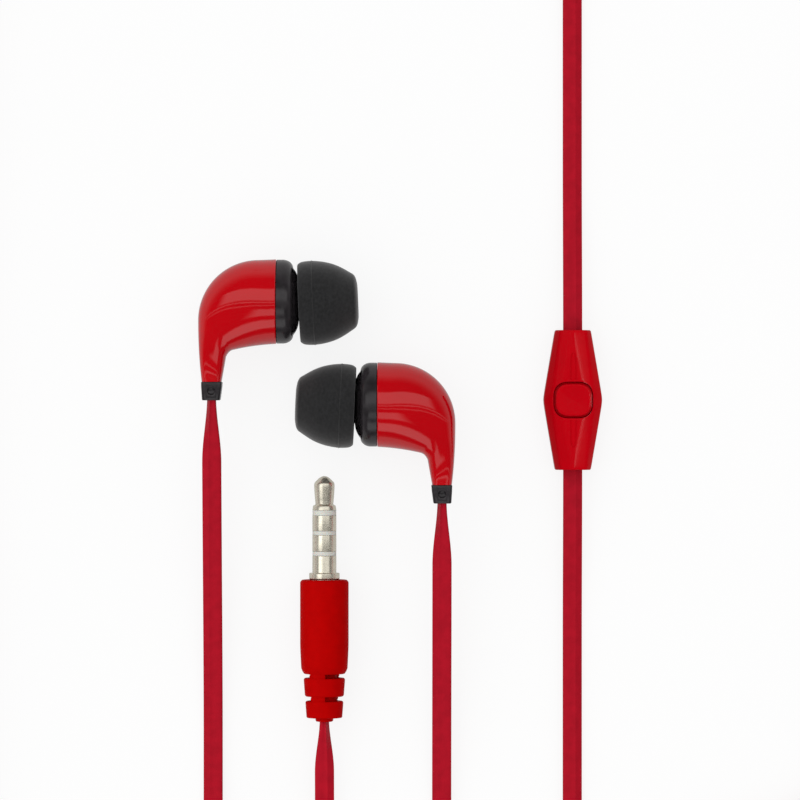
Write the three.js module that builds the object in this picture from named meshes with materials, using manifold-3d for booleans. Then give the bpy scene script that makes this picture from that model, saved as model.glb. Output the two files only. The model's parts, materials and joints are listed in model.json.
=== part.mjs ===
// Wired in-ear earphones with a flat cable, an in-line remote with microphone and a four-contact 3.5 mm plug.
// Units are millimetres and +Z is up. The set lies on a table whose surface is z = 0.
// The origin is the centre of the remote's flat underside, and the remote's strand of cable runs along Y.

import * as THREE from 'three';
import { mergeVertices } from 'three/addons/utils/BufferGeometryUtils.js';
import Module from 'manifold-3d';

const wasm = await Module();
wasm.setup();

const { degToRad, lerp, smoothstep } = THREE.MathUtils;
const ROUND_STEPS = 20;
const SMALL_ROUND_STEPS = 16;
const BEND_STEP_DEG = 18;
const GAP = 0.05;

// ---- driving dimensions ----

// Flat cable
const CABLE_WIDTH = 2.8;
const CABLE_THICKNESS = 1.3;
const CABLE_CORNER = 0.4;
const FLAT_HEIGHT = CABLE_THICKNESS / 2;
const EDGE_HEIGHT = CABLE_WIDTH / 2;
const FLAT = 0;
const ON_EDGE = 90;
const TWIST_LENGTH = 10;

// Earbud, in its own frame: x from the seam towards the ear, y away from the stem, z up
const BARREL_RADIUS = 6.15;
const BUD_HEIGHT = 6.2;
const STEM_CENTRE = 9.4;
const STEM_END = 11.65;
const COLLAR_END = 14.35;
const CRIMP_TOP = -4.2;
const CABLE_START = 3.8;
const LEFT_SEAM = new THREE.Vector2(-43.25, 14.3);
const RIGHT_SEAM = new THREE.Vector2(-28.55, -0.67);
const RING_DEPTH = 2.45;
const TIP_GAP = 0.85;
const TIP_LENGTH = 8.6;
const TIP_RADIUS = 6.15;
const NOZZLE_TILT = 2.5;
const NOZZLE_DROP = 0.3;
const NOZZLE_LENGTH = 6.05;
const NOZZLE_RADIUS = 2.4;
const NOZZLE_BORE = 1.75;

// Where the cable bends below each earbud, measured from the end of the collar
const LIFT_PIVOT = 13;
const PIVOT_GAP = 0.75;
const DROP_LENGTH = 50;

// Remote with microphone
const REMOTE_LENGTH = 20.4;
const REMOTE_HALF_WAIST = 4.28;
const REMOTE_HALF_END = 2.62;
const REMOTE_HEIGHT = 5.3;
const REMOTE_SPLIT = 2.2;
const BUTTON_WIDTH = 5.14;
const BUTTON_LENGTH = 4.7;
const BUTTON_GROOVE = 0.4;

// Plug, along its own axis from the point of the tip
const PLUG_X = -36.3;
const PLUG_TIP_Y = -11.1;
const PLUG_HEIGHT = 3.5;
const PLUG_RADIUS = 1.75;
const BARREL_START = 15.15;
const BARREL_END = 28.85;
const BOOT_END = 35.6;
const PLUG_PIVOT = 37.7;
const PLUG_TWIST = 5;

// Layout of the cable on the table
const TURN_LINE = -70;
const UPPER_LINE = 68;
const LEFT_RETURN_X = -88;
const SPLITTER = new THREE.Vector2(-56, 102);
const SPLITTER_LENGTH = 13;
const SPLITTER_HEIGHT = 3.8;
const BRANCH_SPACING = 3.2;
const MAIN_X = 42;
const BRANCH_RADIUS = 14;
const MOUTH_RADIUS = 8;
const CORNER_RADIUS = 18;
const COIL_TOP_Y = -62.4;
const COIL_TURNS = 2.75;
const COIL_SPACING = 1.75;
const COIL_INNER_RADIUS = 10;

// ---- materials ----

function finish(color, roughness, metalness = 0) {
  return new THREE.MeshStandardMaterial({ color, roughness, metalness });
}

const FINISH = {
  glossyRed: () => finish(0xbb0312, 0.12),
  satinRed: () => finish(0xae0206, 0.45),
  cableRed: () => finish(0xa51926, 0.5),
  glossyBlack: () => finish(0x101010, 0.15),
  silicone: () => finish(0x2c2c2e, 0.7),
  nickel: () => finish(0xcdc6ae, 0.25, 1),
  steel: () => finish(0x9a9a9c, 0.35, 1),
  copper: () => finish(0xb06a3a, 0.35, 1),
  insulator: () => finish(0xe0ded6, 0.5),
  film: () => finish(0xd8d2b8, 0.4),
  board: () => finish(0x1f5a38, 0.6),
  foamBlack: () => finish(0x1a1a1a, 0.95),
};

// ---- geometry helpers ----

// Turns a closed surface the right way out.
function faceOut(geometry) {
  const position = geometry.attributes.position;
  const corners = [new THREE.Vector3(), new THREE.Vector3(), new THREE.Vector3()];
  let volume = 0;
  for (let i = 0; i < geometry.index.count; i += 3) {
    corners.forEach((corner, k) => corner.fromBufferAttribute(position, geometry.index.getX(i + k)));
    volume += corners[0].dot(corners[1].clone().cross(corners[2]));
  }
  if (volume < 0) geometry.setIndex([...geometry.index.array].reverse());
  geometry.computeVertexNormals();
  return geometry;
}

// A solid through loops of points. A tube's last loop joins its first; otherwise both ends are closed flat.
function loft(loops, tube = false) {
  const count = loops[0].length;
  const positions = loops.flat().flatMap((point) => [point.x, point.y, point.z]);
  const index = [];
  const joins = tube ? loops.length : loops.length - 1;
  for (let row = 0; row < joins; row += 1) {
    const here = row * count;
    const next = ((row + 1) % loops.length) * count;
    for (let i = 0; i < count; i += 1) {
      const j = (i + 1) % count;
      index.push(here + i, here + j, next + j, here + i, next + j, next + i);
    }
  }
  if (!tube) {
    const last = (loops.length - 1) * count;
    for (let i = 1; i < count - 1; i += 1) {
      index.push(0, i + 1, i, last, last + i, last + i + 1);
    }
  }
  const geometry = new THREE.BufferGeometry();
  geometry.setAttribute('position', new THREE.Float32BufferAttribute(positions, 3));
  geometry.setIndex(index);
  return faceOut(geometry);
}

// A turned solid along +X from [x, radius] pairs. A ring's profile closes on itself.
function turned(profile, { ring = false, steps = ROUND_STEPS } = {}) {
  const points = profile.map(([along, radius]) => new THREE.Vector2(radius, along));
  if (ring) points.push(points[0].clone());
  const geometry = new THREE.LatheGeometry(points, steps);
  geometry.rotateZ(-Math.PI / 2);
  return faceOut(geometry);
}

function box(width, length, height, x, y, z) {
  const geometry = new THREE.BoxGeometry(width, length, height);
  geometry.translate(x, y, z);
  return geometry;
}

// An upright cylinder standing on z = bottom.
function post(radius, x, y, bottom, top) {
  const geometry = new THREE.CylinderGeometry(radius, radius, top - bottom, ROUND_STEPS);
  geometry.rotateX(Math.PI / 2);
  geometry.translate(x, y, (bottom + top) / 2);
  return geometry;
}

function toSolid(geometry) {
  const bare = geometry.clone();
  bare.deleteAttribute('normal');
  bare.deleteAttribute('uv');
  const merged = mergeVertices(bare, 1e-4);
  const triangles = [];
  for (let i = 0; i < merged.index.count; i += 3) {
    const [a, b, c] = [0, 1, 2].map((k) => merged.index.getX(i + k));
    if (a !== b && b !== c && c !== a) triangles.push(a, b, c);
  }
  return new wasm.Manifold(new wasm.Mesh({
    numProp: 3,
    vertProperties: new Float32Array(merged.attributes.position.array),
    triVerts: new Uint32Array(triangles),
  }));
}

function toGeometry(solid) {
  const mesh = solid.getMesh();
  const geometry = new THREE.BufferGeometry();
  geometry.setAttribute('position', new THREE.BufferAttribute(mesh.vertProperties, 3));
  geometry.setIndex(new THREE.BufferAttribute(mesh.triVerts, 1));
  geometry.computeVertexNormals();
  return geometry;
}

function cut(body, ...tools) {
  return toGeometry(tools.reduce((solid, tool) => solid.subtract(toSolid(tool)), toSolid(body)));
}

function join(...pieces) {
  return toGeometry(pieces.map(toSolid).reduce((solid, piece) => solid.add(piece)));
}

function common(body, other) {
  return toGeometry(toSolid(body).intersect(toSolid(other)));
}

function named(name, geometry, material) {
  const mesh = new THREE.Mesh(geometry, material);
  mesh.name = name;
  return mesh;
}

// ---- flat cable ----

// The cable's section: [across, through] corners of a flat rectangle whose edges come to a blunt point.
function cableSection(thicknessShare) {
  const w = CABLE_WIDTH / 2;
  const flat = w - CABLE_CORNER;
  const t = (CABLE_THICKNESS / 2) * thicknessShare;
  return [[w, 0], [flat, t], [-flat, t], [-w, 0], [-flat, -t], [flat, -t]];
}

// A cable's course on the table: straight runs, bends and a coil, with its height and roll at each station.
class Trail {
  constructor(x, y, headingDeg, z, roll) {
    this.heading = degToRad(headingDeg);
    this.stations = [{ point: new THREE.Vector3(x, y, z), roll, share: 1 }];
  }

  get last() {
    return this.stations[this.stations.length - 1];
  }

  push(x, y, z, roll) {
    this.stations.push({ point: new THREE.Vector3(x, y, z), roll, share: 1 });
  }

  left() {
    return new THREE.Vector2(-Math.sin(this.heading), Math.cos(this.heading));
  }

  run(distance, { z = this.last.point.z, roll = this.last.roll, steps = 1 } = {}) {
    const from = this.last;
    for (let i = 1; i <= steps; i += 1) {
      const share = i / steps;
      const eased = smoothstep(share, 0, 1);
      const x = from.point.x + Math.cos(this.heading) * distance * share;
      const y = from.point.y + Math.sin(this.heading) * distance * share;
      this.push(x, y, lerp(from.point.z, z, eased), lerp(from.roll, roll, eased));
    }
    return this;
  }

  // Positive degrees turn left.
  bend(radius, degrees) {
    const side = Math.sign(degrees);
    const steps = Math.ceil(Math.abs(degrees) / BEND_STEP_DEG);
    const { point, roll } = this.last;
    const towards = this.left().multiplyScalar(radius * side);
    const centre = new THREE.Vector2(point.x, point.y).add(towards);
    const start = towards.clone().negate();
    for (let i = 1; i <= steps; i += 1) {
      const arm = start.clone().rotateAround(new THREE.Vector2(), degToRad((degrees * i) / steps));
      this.push(centre.x + arm.x, centre.y + arm.y, point.z, roll);
    }
    this.heading += degToRad(degrees);
    return this;
  }

  // One arm of the coil: the radius changes by two spacings each turn.
  spiral(centre, startRadius, turnDirection, growth) {
    const { point, roll } = this.last;
    const startAngle = Math.atan2(point.y - centre.y, point.x - centre.x);
    const steps = Math.round((COIL_TURNS * 360) / BEND_STEP_DEG);
    for (let i = 1; i <= steps; i += 1) {
      const turn = i * degToRad(BEND_STEP_DEG);
      const angle = startAngle + turnDirection * turn;
      const radius = startRadius + (growth * COIL_SPACING * turn) / Math.PI;
      this.push(centre.x + radius * Math.cos(angle), centre.y + radius * Math.sin(angle), point.z, roll);
    }
    this.heading += turnDirection * COIL_TURNS * 2 * Math.PI;
  }

  // A flat coil wound from the middle of the cable, so that both ends leave it at the outside.
  coil() {
    const outerRadius = COIL_INNER_RADIUS + 2 * COIL_TURNS * COIL_SPACING;
    const centre = this.left().multiplyScalar(outerRadius).add(this.last.point);
    this.spiral(centre, outerRadius, 1, -1);
    this.bend(COIL_INNER_RADIUS / 2, 180);
    this.bend(COIL_INNER_RADIUS / 2, -180);
    this.spiral(centre, COIL_INNER_RADIUS, -1, 1);
    return this;
  }

  // Loops of the swept section. A rounded end is a half circle about its last station.
  loops(roundStart, roundEnd) {
    const stations = [...this.stations];
    if (roundStart) stations.unshift(...Trail.roundEnd(stations[0], stations[1]).reverse());
    if (roundEnd) stations.push(...Trail.roundEnd(stations.at(-1), stations.at(-2)));
    return stations.map((station, i) => {
      const ahead = stations[Math.min(i + 1, stations.length - 1)].point;
      const behind = stations[Math.max(i - 1, 0)].point;
      const heading = Math.atan2(ahead.y - behind.y, ahead.x - behind.x);
      const side = new THREE.Vector3(-Math.sin(heading), Math.cos(heading), 0);
      const roll = degToRad(station.roll);
      const up = new THREE.Vector3(0, 0, 1);
      const across = side.clone().multiplyScalar(Math.cos(roll)).addScaledVector(up, Math.sin(roll));
      const through = up.clone().multiplyScalar(Math.cos(roll)).addScaledVector(side, -Math.sin(roll));
      return cableSection(station.share).map(([a, t]) => (
        station.point.clone().addScaledVector(across, a).addScaledVector(through, t)
      ));
    });
  }

  static roundEnd(end, neighbour) {
    const out = end.point.clone().sub(neighbour.point).normalize();
    return [45, 75].map((degrees) => ({
      point: end.point.clone().addScaledVector(out, (CABLE_THICKNESS / 2) * Math.sin(degToRad(degrees))),
      roll: end.roll,
      share: Math.cos(degToRad(degrees)),
    }));
  }
}

// The cable's height below an earbud, easing from the stem down to the table.
function dropHeight(distance) {
  return lerp(BUD_HEIGHT, FLAT_HEIGHT, smoothstep(distance, 0, DROP_LENGTH));
}

// The world X of the stem; side is -1 for the left earbud and 1 for the right.
function stemX(seam, side) {
  return seam.x + side * STEM_CENTRE;
}

// From inside the stem, through the collar and past the twist, to just short of the bend.
function budCableEnd(seam, side) {
  const trail = new Trail(stemX(seam, side), seam.y - CABLE_START, -90, BUD_HEIGHT, ON_EDGE);
  const collarY = seam.y - COLLAR_END;
  trail.run(COLLAR_END - CABLE_START + 1);
  const twistSteps = 6;
  const twistLength = LIFT_PIVOT - PIVOT_GAP - 1;
  for (let i = 1; i <= twistSteps; i += 1) {
    const share = i / twistSteps;
    const distance = 1 + twistLength * share;
    const roll = ON_EDGE * (1 - smoothstep(Math.min(share * 1.15, 1), 0, 1));
    trail.push(trail.last.point.x, collarY - distance, dropHeight(distance), roll);
  }
  return loft(trail.loops(false, false));
}

// The rest of an earbud's strand, from the bend down to where it turns on edge.
function strandFromBud(seam, side) {
  const collarY = seam.y - COLLAR_END;
  const x = stemX(seam, side);
  const trail = new Trail(x, collarY - LIFT_PIVOT, -90, dropHeight(LIFT_PIVOT), FLAT);
  for (let distance = LIFT_PIVOT + 6; distance < DROP_LENGTH - 4; distance += 6) {
    trail.push(x, collarY - distance, dropHeight(distance), FLAT);
  }
  trail.push(x, TURN_LINE + TWIST_LENGTH, FLAT_HEIGHT, FLAT);
  trail.run(TWIST_LENGTH, { z: EDGE_HEIGHT, roll: ON_EDGE, steps: 6 });
  return trail;
}

const SPLITTER_CABLE_HEIGHT = SPLITTER_HEIGHT / 2;
const SPLITTER_ENTRY = 3.5;

// The last part of a branch: a quarter turn, a run along the upper line and a turn into the splitter.
function intoSplitter(trail, side) {
  const entryX = SPLITTER.x + (side * BRANCH_SPACING) / 2;
  trail.bend(BRANCH_RADIUS, side * 90);
  trail.run(Math.abs(trail.last.point.x - entryX) - MOUTH_RADIUS);
  trail.bend(MOUTH_RADIUS, -side * 90);
  const mouthY = SPLITTER.y - SPLITTER_LENGTH / 2 - 0.5;
  trail.run(mouthY - trail.last.point.y, { z: SPLITTER_CABLE_HEIGHT, steps: 3 });
  trail.run(SPLITTER_ENTRY + 0.5);
}

function leftCable() {
  const trail = strandFromBud(LEFT_SEAM, -1);
  trail.bend((stemX(LEFT_SEAM, -1) - LEFT_RETURN_X) / 2, -180);
  trail.run(UPPER_LINE - TURN_LINE);
  intoSplitter(trail, -1);
  return loft(trail.loops(true, false));
}

function rightUpperCable() {
  const trail = strandFromBud(RIGHT_SEAM, 1);
  trail.bend(-stemX(RIGHT_SEAM, 1) / 2, 180);
  trail.run(TWIST_LENGTH, { z: FLAT_HEIGHT, roll: FLAT, steps: 6 });
  trail.run(-REMOTE_LENGTH / 2 - 25 - trail.last.point.y);
  trail.run(25, { z: REMOTE_SPLIT, steps: 5 });
  trail.run(REMOTE_LENGTH / 2 - 7);
  return loft(trail.loops(true, false));
}

function rightLowerCable() {
  const trail = new Trail(0, 7, 90, REMOTE_SPLIT, FLAT);
  trail.run(REMOTE_LENGTH / 2 - 7);
  trail.run(25, { z: FLAT_HEIGHT, steps: 5 });
  trail.run(UPPER_LINE - TWIST_LENGTH - trail.last.point.y);
  trail.run(TWIST_LENGTH, { z: EDGE_HEIGHT, roll: ON_EDGE, steps: 6 });
  intoSplitter(trail, 1);
  return loft(trail.loops(false, false));
}

// Out of the splitter, round the right-hand side, through the coil and up to the plug.
function mainCable() {
  const start = SPLITTER.y + SPLITTER_LENGTH / 2 - SPLITTER_ENTRY;
  const trail = new Trail(SPLITTER.x, start, 90, SPLITTER_CABLE_HEIGHT, ON_EDGE);
  trail.run(SPLITTER_ENTRY + 0.5);
  trail.run(5, { z: EDGE_HEIGHT, steps: 3 });
  trail.bend(CORNER_RADIUS, -90);
  trail.run(MAIN_X - CORNER_RADIUS - trail.last.point.x);
  trail.bend(CORNER_RADIUS, -90);
  trail.run(trail.last.point.y - COIL_TOP_Y - CORNER_RADIUS);
  trail.bend(CORNER_RADIUS, -90);
  trail.coil();
  trail.run(trail.last.point.x - PLUG_X - CORNER_RADIUS);
  trail.bend(CORNER_RADIUS, -90);
  const pivotY = PLUG_TIP_Y - PLUG_PIVOT;
  const twistY = pivotY - 1;
  trail.run(TWIST_LENGTH, { z: FLAT_HEIGHT, roll: FLAT, steps: 6 });
  trail.run(twistY - PLUG_TWIST - trail.last.point.y, { z: 2, steps: 4 });
  trail.run(PLUG_TWIST, { z: PLUG_HEIGHT, roll: ON_EDGE, steps: 6 });
  trail.run(1);
  return loft(trail.loops(false, true));
}

// ---- earbud ----

// Two outlines of the housing seen along Z, from the seam round the bend to the end of the stem.
const BEND_CENTRE = new THREE.Vector2(-2.6, -2.7);
const BEND_RADIUS = 8.75;

function outerOutline() {
  const path = new THREE.CurvePath();
  const arc = new THREE.EllipseCurve(
    BEND_CENTRE.x, BEND_CENTRE.y, BEND_RADIUS, BEND_RADIUS, Math.PI / 2, Math.PI, false,
  );
  path.add(new THREE.LineCurve(new THREE.Vector2(0, BARREL_RADIUS), arc.getPoint(0)));
  path.add(arc);
  path.add(new THREE.QuadraticBezierCurve(
    arc.getPoint(1), new THREE.Vector2(-11.35, -7.5), new THREE.Vector2(-10.83, -STEM_END),
  ));
  return path;
}

function innerOutline() {
  const path = new THREE.CurvePath();
  const corner = new THREE.Vector2(-6.9, -7.15);
  path.add(new THREE.QuadraticBezierCurve(
    new THREE.Vector2(0, -BARREL_RADIUS), new THREE.Vector2(-3.2, -6.3), new THREE.Vector2(-6.3, -7.02),
  ));
  path.add(new THREE.QuadraticBezierCurve(new THREE.Vector2(-6.3, -7.02), corner, new THREE.Vector2(-7.3, -8)));
  path.add(new THREE.LineCurve(new THREE.Vector2(-7.3, -8), new THREE.Vector2(-7.95, -STEM_END)));
  return path;
}

const OUTER_OUTLINE = outerOutline();
const INNER_OUTLINE = innerOutline();
const STEM_HALF_DEPTH = 2.15;

function housingLoop(share, wall) {
  const outer = OUTER_OUTLINE.getPoint(share);
  const inner = INNER_OUTLINE.getPoint(share);
  const centre = outer.clone().add(inner).multiplyScalar(0.5);
  const across = outer.clone().sub(inner);
  const halfWidth = across.length() / 2 - wall;
  const ease = smoothstep(share, 0.04, 0.95);
  const halfDepth = lerp(BARREL_RADIUS, STEM_HALF_DEPTH, ease) - wall;
  const power = 2 / lerp(2, 3.6, share * share);
  across.normalize();
  return Array.from({ length: ROUND_STEPS }, (_, i) => {
    const angle = (i / ROUND_STEPS) * 2 * Math.PI;
    const a = halfWidth * Math.sign(Math.cos(angle)) * Math.abs(Math.cos(angle)) ** power;
    const z = halfDepth * Math.sign(Math.sin(angle)) * Math.abs(Math.sin(angle)) ** power;
    return new THREE.Vector3(centre.x + across.x * a, centre.y + across.y * a, z);
  });
}

function rearShell() {
  const shares = [0, 0.07, 0.16, 0.25, 0.34, 0.43, 0.52, 0.61, 0.7, 0.78, 0.88, 1];
  const outside = shares.map((share) => housingLoop(share, 0));
  const inside = shares.map((share) => housingLoop(share, lerp(0.9, 0.55, smoothstep(share, 0.5, 1))));
  return loft([...outside, ...inside.reverse()], true);
}

// The black ring and the sound nozzle in one piece; the nozzle sits low and leans away from the stem.
function frontRing() {
  const shoulder = 0.95;
  const faceRadius = 4.9;
  const rounding = [0, 30, 60, 90].map((degrees) => {
    const angle = degToRad(degrees);
    return [
      shoulder + (RING_DEPTH - shoulder) * Math.sin(angle),
      faceRadius + (6.12 - faceRadius) * Math.cos(angle),
    ];
  });
  const nozzleEnd = RING_DEPTH + NOZZLE_LENGTH;
  const geometry = turned([
    [GAP, 6.12],
    ...rounding,
    [RING_DEPTH + 0.3, 3.9],
    [RING_DEPTH + 0.45, NOZZLE_RADIUS],
    [nozzleEnd - 1.1, NOZZLE_RADIUS],
    [nozzleEnd - 0.9, 2.72],
    [nozzleEnd - 0.4, 2.72],
    [nozzleEnd, 2.3],
    [nozzleEnd, NOZZLE_BORE],
    [RING_DEPTH, NOZZLE_BORE],
    [1.75, NOZZLE_BORE],
    [0.8, 4.75],
    [-0.9, 4.75],
    [-0.9, 5.05],
    [GAP, 5.05],
  ], { ring: true });
  const position = geometry.attributes.position;
  for (let i = 0; i < position.count; i += 1) {
    const radius = Math.hypot(position.getY(i), position.getZ(i));
    const inNozzle = position.getX(i) > 1.7 && radius < NOZZLE_RADIUS + 0.5;
    const past = Math.max(position.getX(i) - RING_DEPTH, 0);
    const shift = past * Math.tan(degToRad(NOZZLE_TILT)) - NOZZLE_DROP;
    if (inNozzle) position.setY(i, position.getY(i) + shift);
  }
  geometry.computeVertexNormals();
  return geometry;
}

// A hollow dome with a sleeve inside it, open at both ends.
function earTip() {
  const sleeveRadius = 3.5;
  const sleeveBore = 2.86;
  const nozzleStop = 5.4;
  return turned([
    [0, 5.7],
    [0.5, 6],
    [2.1, TIP_RADIUS],
    [3.4, 6],
    [4.7, 5.7],
    [5.7, 5.32],
    [6.6, 4.85],
    [8.1, 3.9],
    [8.4, 3.5],
    [TIP_LENGTH, 2.5],
    [TIP_LENGTH, 2],
    [nozzleStop, 2],
    [nozzleStop, sleeveBore],
    [0.6, sleeveBore],
    [0.6, sleeveRadius],
    [6, sleeveRadius],
    [6, 4.6],
    [5, 5.12],
    [3.7, 5.5],
    [2.2, 5.7],
    [0, 5.4],
  ], { ring: true });
}

function disc(radius, from, to) {
  return turned([[from, 0], [from, radius], [to, radius], [to, 0]], { steps: SMALL_ROUND_STEPS });
}

function ringOf(inner, outer, from, to) {
  const profile = [[from, outer], [to, outer], [to, inner], [from, inner]];
  return turned(profile, { ring: true, steps: SMALL_ROUND_STEPS });
}

// The flange and magnet pot of the driver.
function driverFrame() {
  return turned([
    [-3, 0],
    [-3, 3.3],
    [-0.6, 3.3],
    [-0.6, 4.6],
    [0.1, 4.6],
    [0.1, 4.3],
    [-0.3, 4.3],
    [-0.3, 2.95],
    [-2.6, 2.95],
    [-2.6, 0],
  ], { steps: SMALL_ROUND_STEPS });
}

// A thin domed film with a rolled surround.
function diaphragm() {
  const film = 0.08;
  const face = [[0.95, 0], [0.88, 1], [0.62, 2], [0.34, 2.6], [0.5, 3.4], [0.34, 4.2]];
  const back = face.map(([x, r]) => [x - film, r]).reverse();
  return turned([...face, ...back], { steps: SMALL_ROUND_STEPS });
}

// A rounded rectangle in a plane of constant y.
function collarLoop(x, y, width, depth) {
  const corner = 0.35;
  const w = width / 2;
  const d = depth / 2;
  const quarter = [[w, d - corner], [w - corner * 0.3, d - corner * 0.3], [w - corner, d]];
  const half = [...quarter, ...quarter.map(([a, b]) => [-a, b]).reverse()];
  const loop = [...half, ...half.map(([a, b]) => [-a, -b])];
  return loop.map(([a, b]) => new THREE.Vector3(x + a, y, b));
}

function cableCollar() {
  const top = -STEM_END - GAP;
  const bore = [1.46, 2.96];
  return loft([
    collarLoop(-9.36, top, 3.04, 4),
    collarLoop(-9.44, -COLLAR_END, 2.6, 3.8),
    collarLoop(-STEM_CENTRE, -COLLAR_END, ...bore),
    collarLoop(-STEM_CENTRE, top, ...bore),
  ], true);
}

// A clamp round the cable where it enters the barrel; it is wider than the stem, so it can't pull through.
function cableCrimp() {
  const y = CRIMP_TOP;
  const outer = [2.1, 3.6];
  const bore = [1.42, 2.92];
  return loft([
    collarLoop(-STEM_CENTRE, y, ...outer),
    collarLoop(-STEM_CENTRE, y - 1.4, ...outer),
    collarLoop(-STEM_CENTRE, y - 1.4, ...bore),
    collarLoop(-STEM_CENTRE, y, ...bore),
  ], true);
}

// Everything in the earbud's own frame. The right earbud is the left one mirrored.
function earbud(side, seam) {
  const prefix = side < 0 ? 'left' : 'right';
  const bud = new THREE.Group();
  const add = (name, geometry, material) => bud.add(named(`${prefix}_${name}`, geometry, material));
  add('rear_shell', rearShell(), FINISH.glossyRed());
  add('front_ring', frontRing(), FINISH.glossyBlack());
  add('driver_frame', driverFrame(), FINISH.steel());
  add('driver_magnet', disc(2.2, -2.55, -1.2), FINISH.nickel());
  add('driver_plate', disc(2.35, -1.15, -0.65), FINISH.steel());
  add('voice_coil', ringOf(2.48, 2.76, -1.55, 0.2), FINISH.copper());
  add('diaphragm', diaphragm(), FINISH.film());
  add('terminal_board', box(0.5, 4.4, 3, -3.35, 0, 0), FINISH.board());
  add('cable_collar', cableCollar(), FINISH.glossyBlack());
  add('cable_crimp', cableCrimp(), FINISH.steel());

  const nozzleFrame = new THREE.Group();
  nozzleFrame.position.set(RING_DEPTH, -NOZZLE_DROP, 0);
  nozzleFrame.rotation.z = degToRad(NOZZLE_TILT);
  nozzleFrame.add(named(`${prefix}_nozzle_mesh`, disc(1.68, 5.6, 5.75), FINISH.steel()));
  const tip = named(`${prefix}_ear_tip`, earTip(), FINISH.silicone());
  tip.position.x = TIP_GAP;
  nozzleFrame.add(tip);
  bud.add(nozzleFrame);

  bud.position.set(seam.x, seam.y, BUD_HEIGHT);
  bud.scale.x = -side;
  return bud;
}

// ---- remote ----

// The body's section across Y: flat underside, upright sides, a bevel on each side and a low crown.
function remoteLoop(y, halfWidth, inset) {
  const w = halfWidth - inset;
  const floor = inset;
  const half = [
    [w * 0.8, floor],
    [w, floor + 0.9 - inset * 0.7],
    [w, 3.3 - inset * 0.2],
    [w * 0.68, 4.7 - inset * 0.85],
  ];
  const crown = [0, REMOTE_HEIGHT - inset];
  const loop = [...half, crown, ...half.map(([x, z]) => [-x, z]).reverse()];
  return loop.map(([x, z]) => new THREE.Vector3(x, y, z));
}

function remoteBody(inset) {
  const end = REMOTE_LENGTH / 2 - inset;
  const endHalf = lerp(REMOTE_HALF_WAIST, REMOTE_HALF_END, end / (REMOTE_LENGTH / 2));
  return loft([
    remoteLoop(-end, endHalf, inset),
    remoteLoop(0, REMOTE_HALF_WAIST, inset),
    remoteLoop(end, endHalf, inset),
  ]);
}

function roundedRectangle(width, length, corner) {
  const w = width / 2 - corner;
  const l = length / 2 - corner;
  const shape = new THREE.Shape();
  shape.absarc(w, l, corner, 0, Math.PI / 2, false);
  shape.absarc(-w, l, corner, Math.PI / 2, Math.PI, false);
  shape.absarc(-w, -l, corner, Math.PI, Math.PI * 1.5, false);
  shape.absarc(w, -l, corner, Math.PI * 1.5, Math.PI * 2, false);
  return shape;
}

function slab(width, length, corner, bottom, top) {
  const options = { depth: top - bottom, bevelEnabled: false, curveSegments: 4 };
  const geometry = new THREE.ExtrudeGeometry(roundedRectangle(width, length, corner), options);
  geometry.translate(0, 0, bottom);
  return geometry;
}

function remote() {
  const wall = 0.75;
  const cavity = remoteBody(wall);
  const slot = box(CABLE_WIDTH + 0.3, REMOTE_LENGTH + 2, CABLE_THICKNESS + 0.2, 0, 0, REMOTE_SPLIT);
  const opening = slab(BUTTON_WIDTH + 2 * BUTTON_GROOVE, BUTTON_LENGTH + 2 * BUTTON_GROOVE, 1.8, 3, 7);
  const upper = box(20, 40, 10, 0, 0, REMOTE_SPLIT + GAP + 5);
  const lower = box(20, 40, 10, 0, 0, REMOTE_SPLIT - 5);
  const portY = -3.6;
  const port = post(0.45, 0, portY, -1, 2);
  const hollow = cut(remoteBody(0), cavity, slot);
  const button = join(
    slab(BUTTON_WIDTH, BUTTON_LENGTH, 1.5, 3.62, 5.3),
    slab(4.2, 6.5, 0.6, 3.62, 4),
  );
  const switchBody = cut(box(3, 3, 0.85, 0, 0, 2.775), post(1, 0, 0, 2.55, 4));
  const micCapsule = post(1.5, 0, portY, 1.05, 1.7);
  const micGasket = cut(post(1.5, 0, portY, 0.8, 1), post(0.7, 0, portY, 0.5, 1.5));
  return [
    named('remote_front_shell', cut(common(hollow, upper), opening), FINISH.glossyRed()),
    named('remote_rear_shell', cut(common(hollow, lower), port), FINISH.glossyRed()),
    named('remote_button', button, FINISH.glossyRed()),
    named('remote_circuit_board', box(3.6, 12.4, 0.57, 0, 0, 2.035), FINISH.board()),
    named('remote_switch_body', switchBody, FINISH.steel()),
    named('remote_switch_plunger', post(0.9, 0, 0, 2.95, 3.6), FINISH.foamBlack()),
    named('remote_mic_capsule', micCapsule, FINISH.steel()),
    named('remote_mic_gasket', micGasket, FINISH.foamBlack()),
  ];
}

// ---- plug ----

// A contact or insulator: a surface band with a thinner tube behind it, nested round its neighbours.
function nestedBand(from, to, surface, bore, tube, tubeEnd) {
  const profile = [[from, bore], [from, surface], [to, surface], [to, tube], [tubeEnd, tube], [tubeEnd, bore]];
  return turned(profile, { ring: true, steps: SMALL_ROUND_STEPS });
}

function tipContact() {
  return turned([
    [0, 0],
    [0.25, 0.75],
    [1, 1.48],
    [1.6, 1.5],
    [4.2, 1.3],
    [4.25, 1.6],
    [4.95, PLUG_RADIUS],
    [4.95, 0.4],
    [17.5, 0.4],
    [17.5, 0],
  ], { steps: SMALL_ROUND_STEPS });
}

function sleeveContact() {
  return turned([
    [11.63, 1.5],
    [11.63, PLUG_RADIUS],
    [14.15, PLUG_RADIUS],
    [14.15, 2.22],
    [15.1, 2.22],
    [15.1, 1.95],
    [16.6, 1.95],
    [16.6, 1.5],
  ], { ring: true, steps: SMALL_ROUND_STEPS });
}

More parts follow.
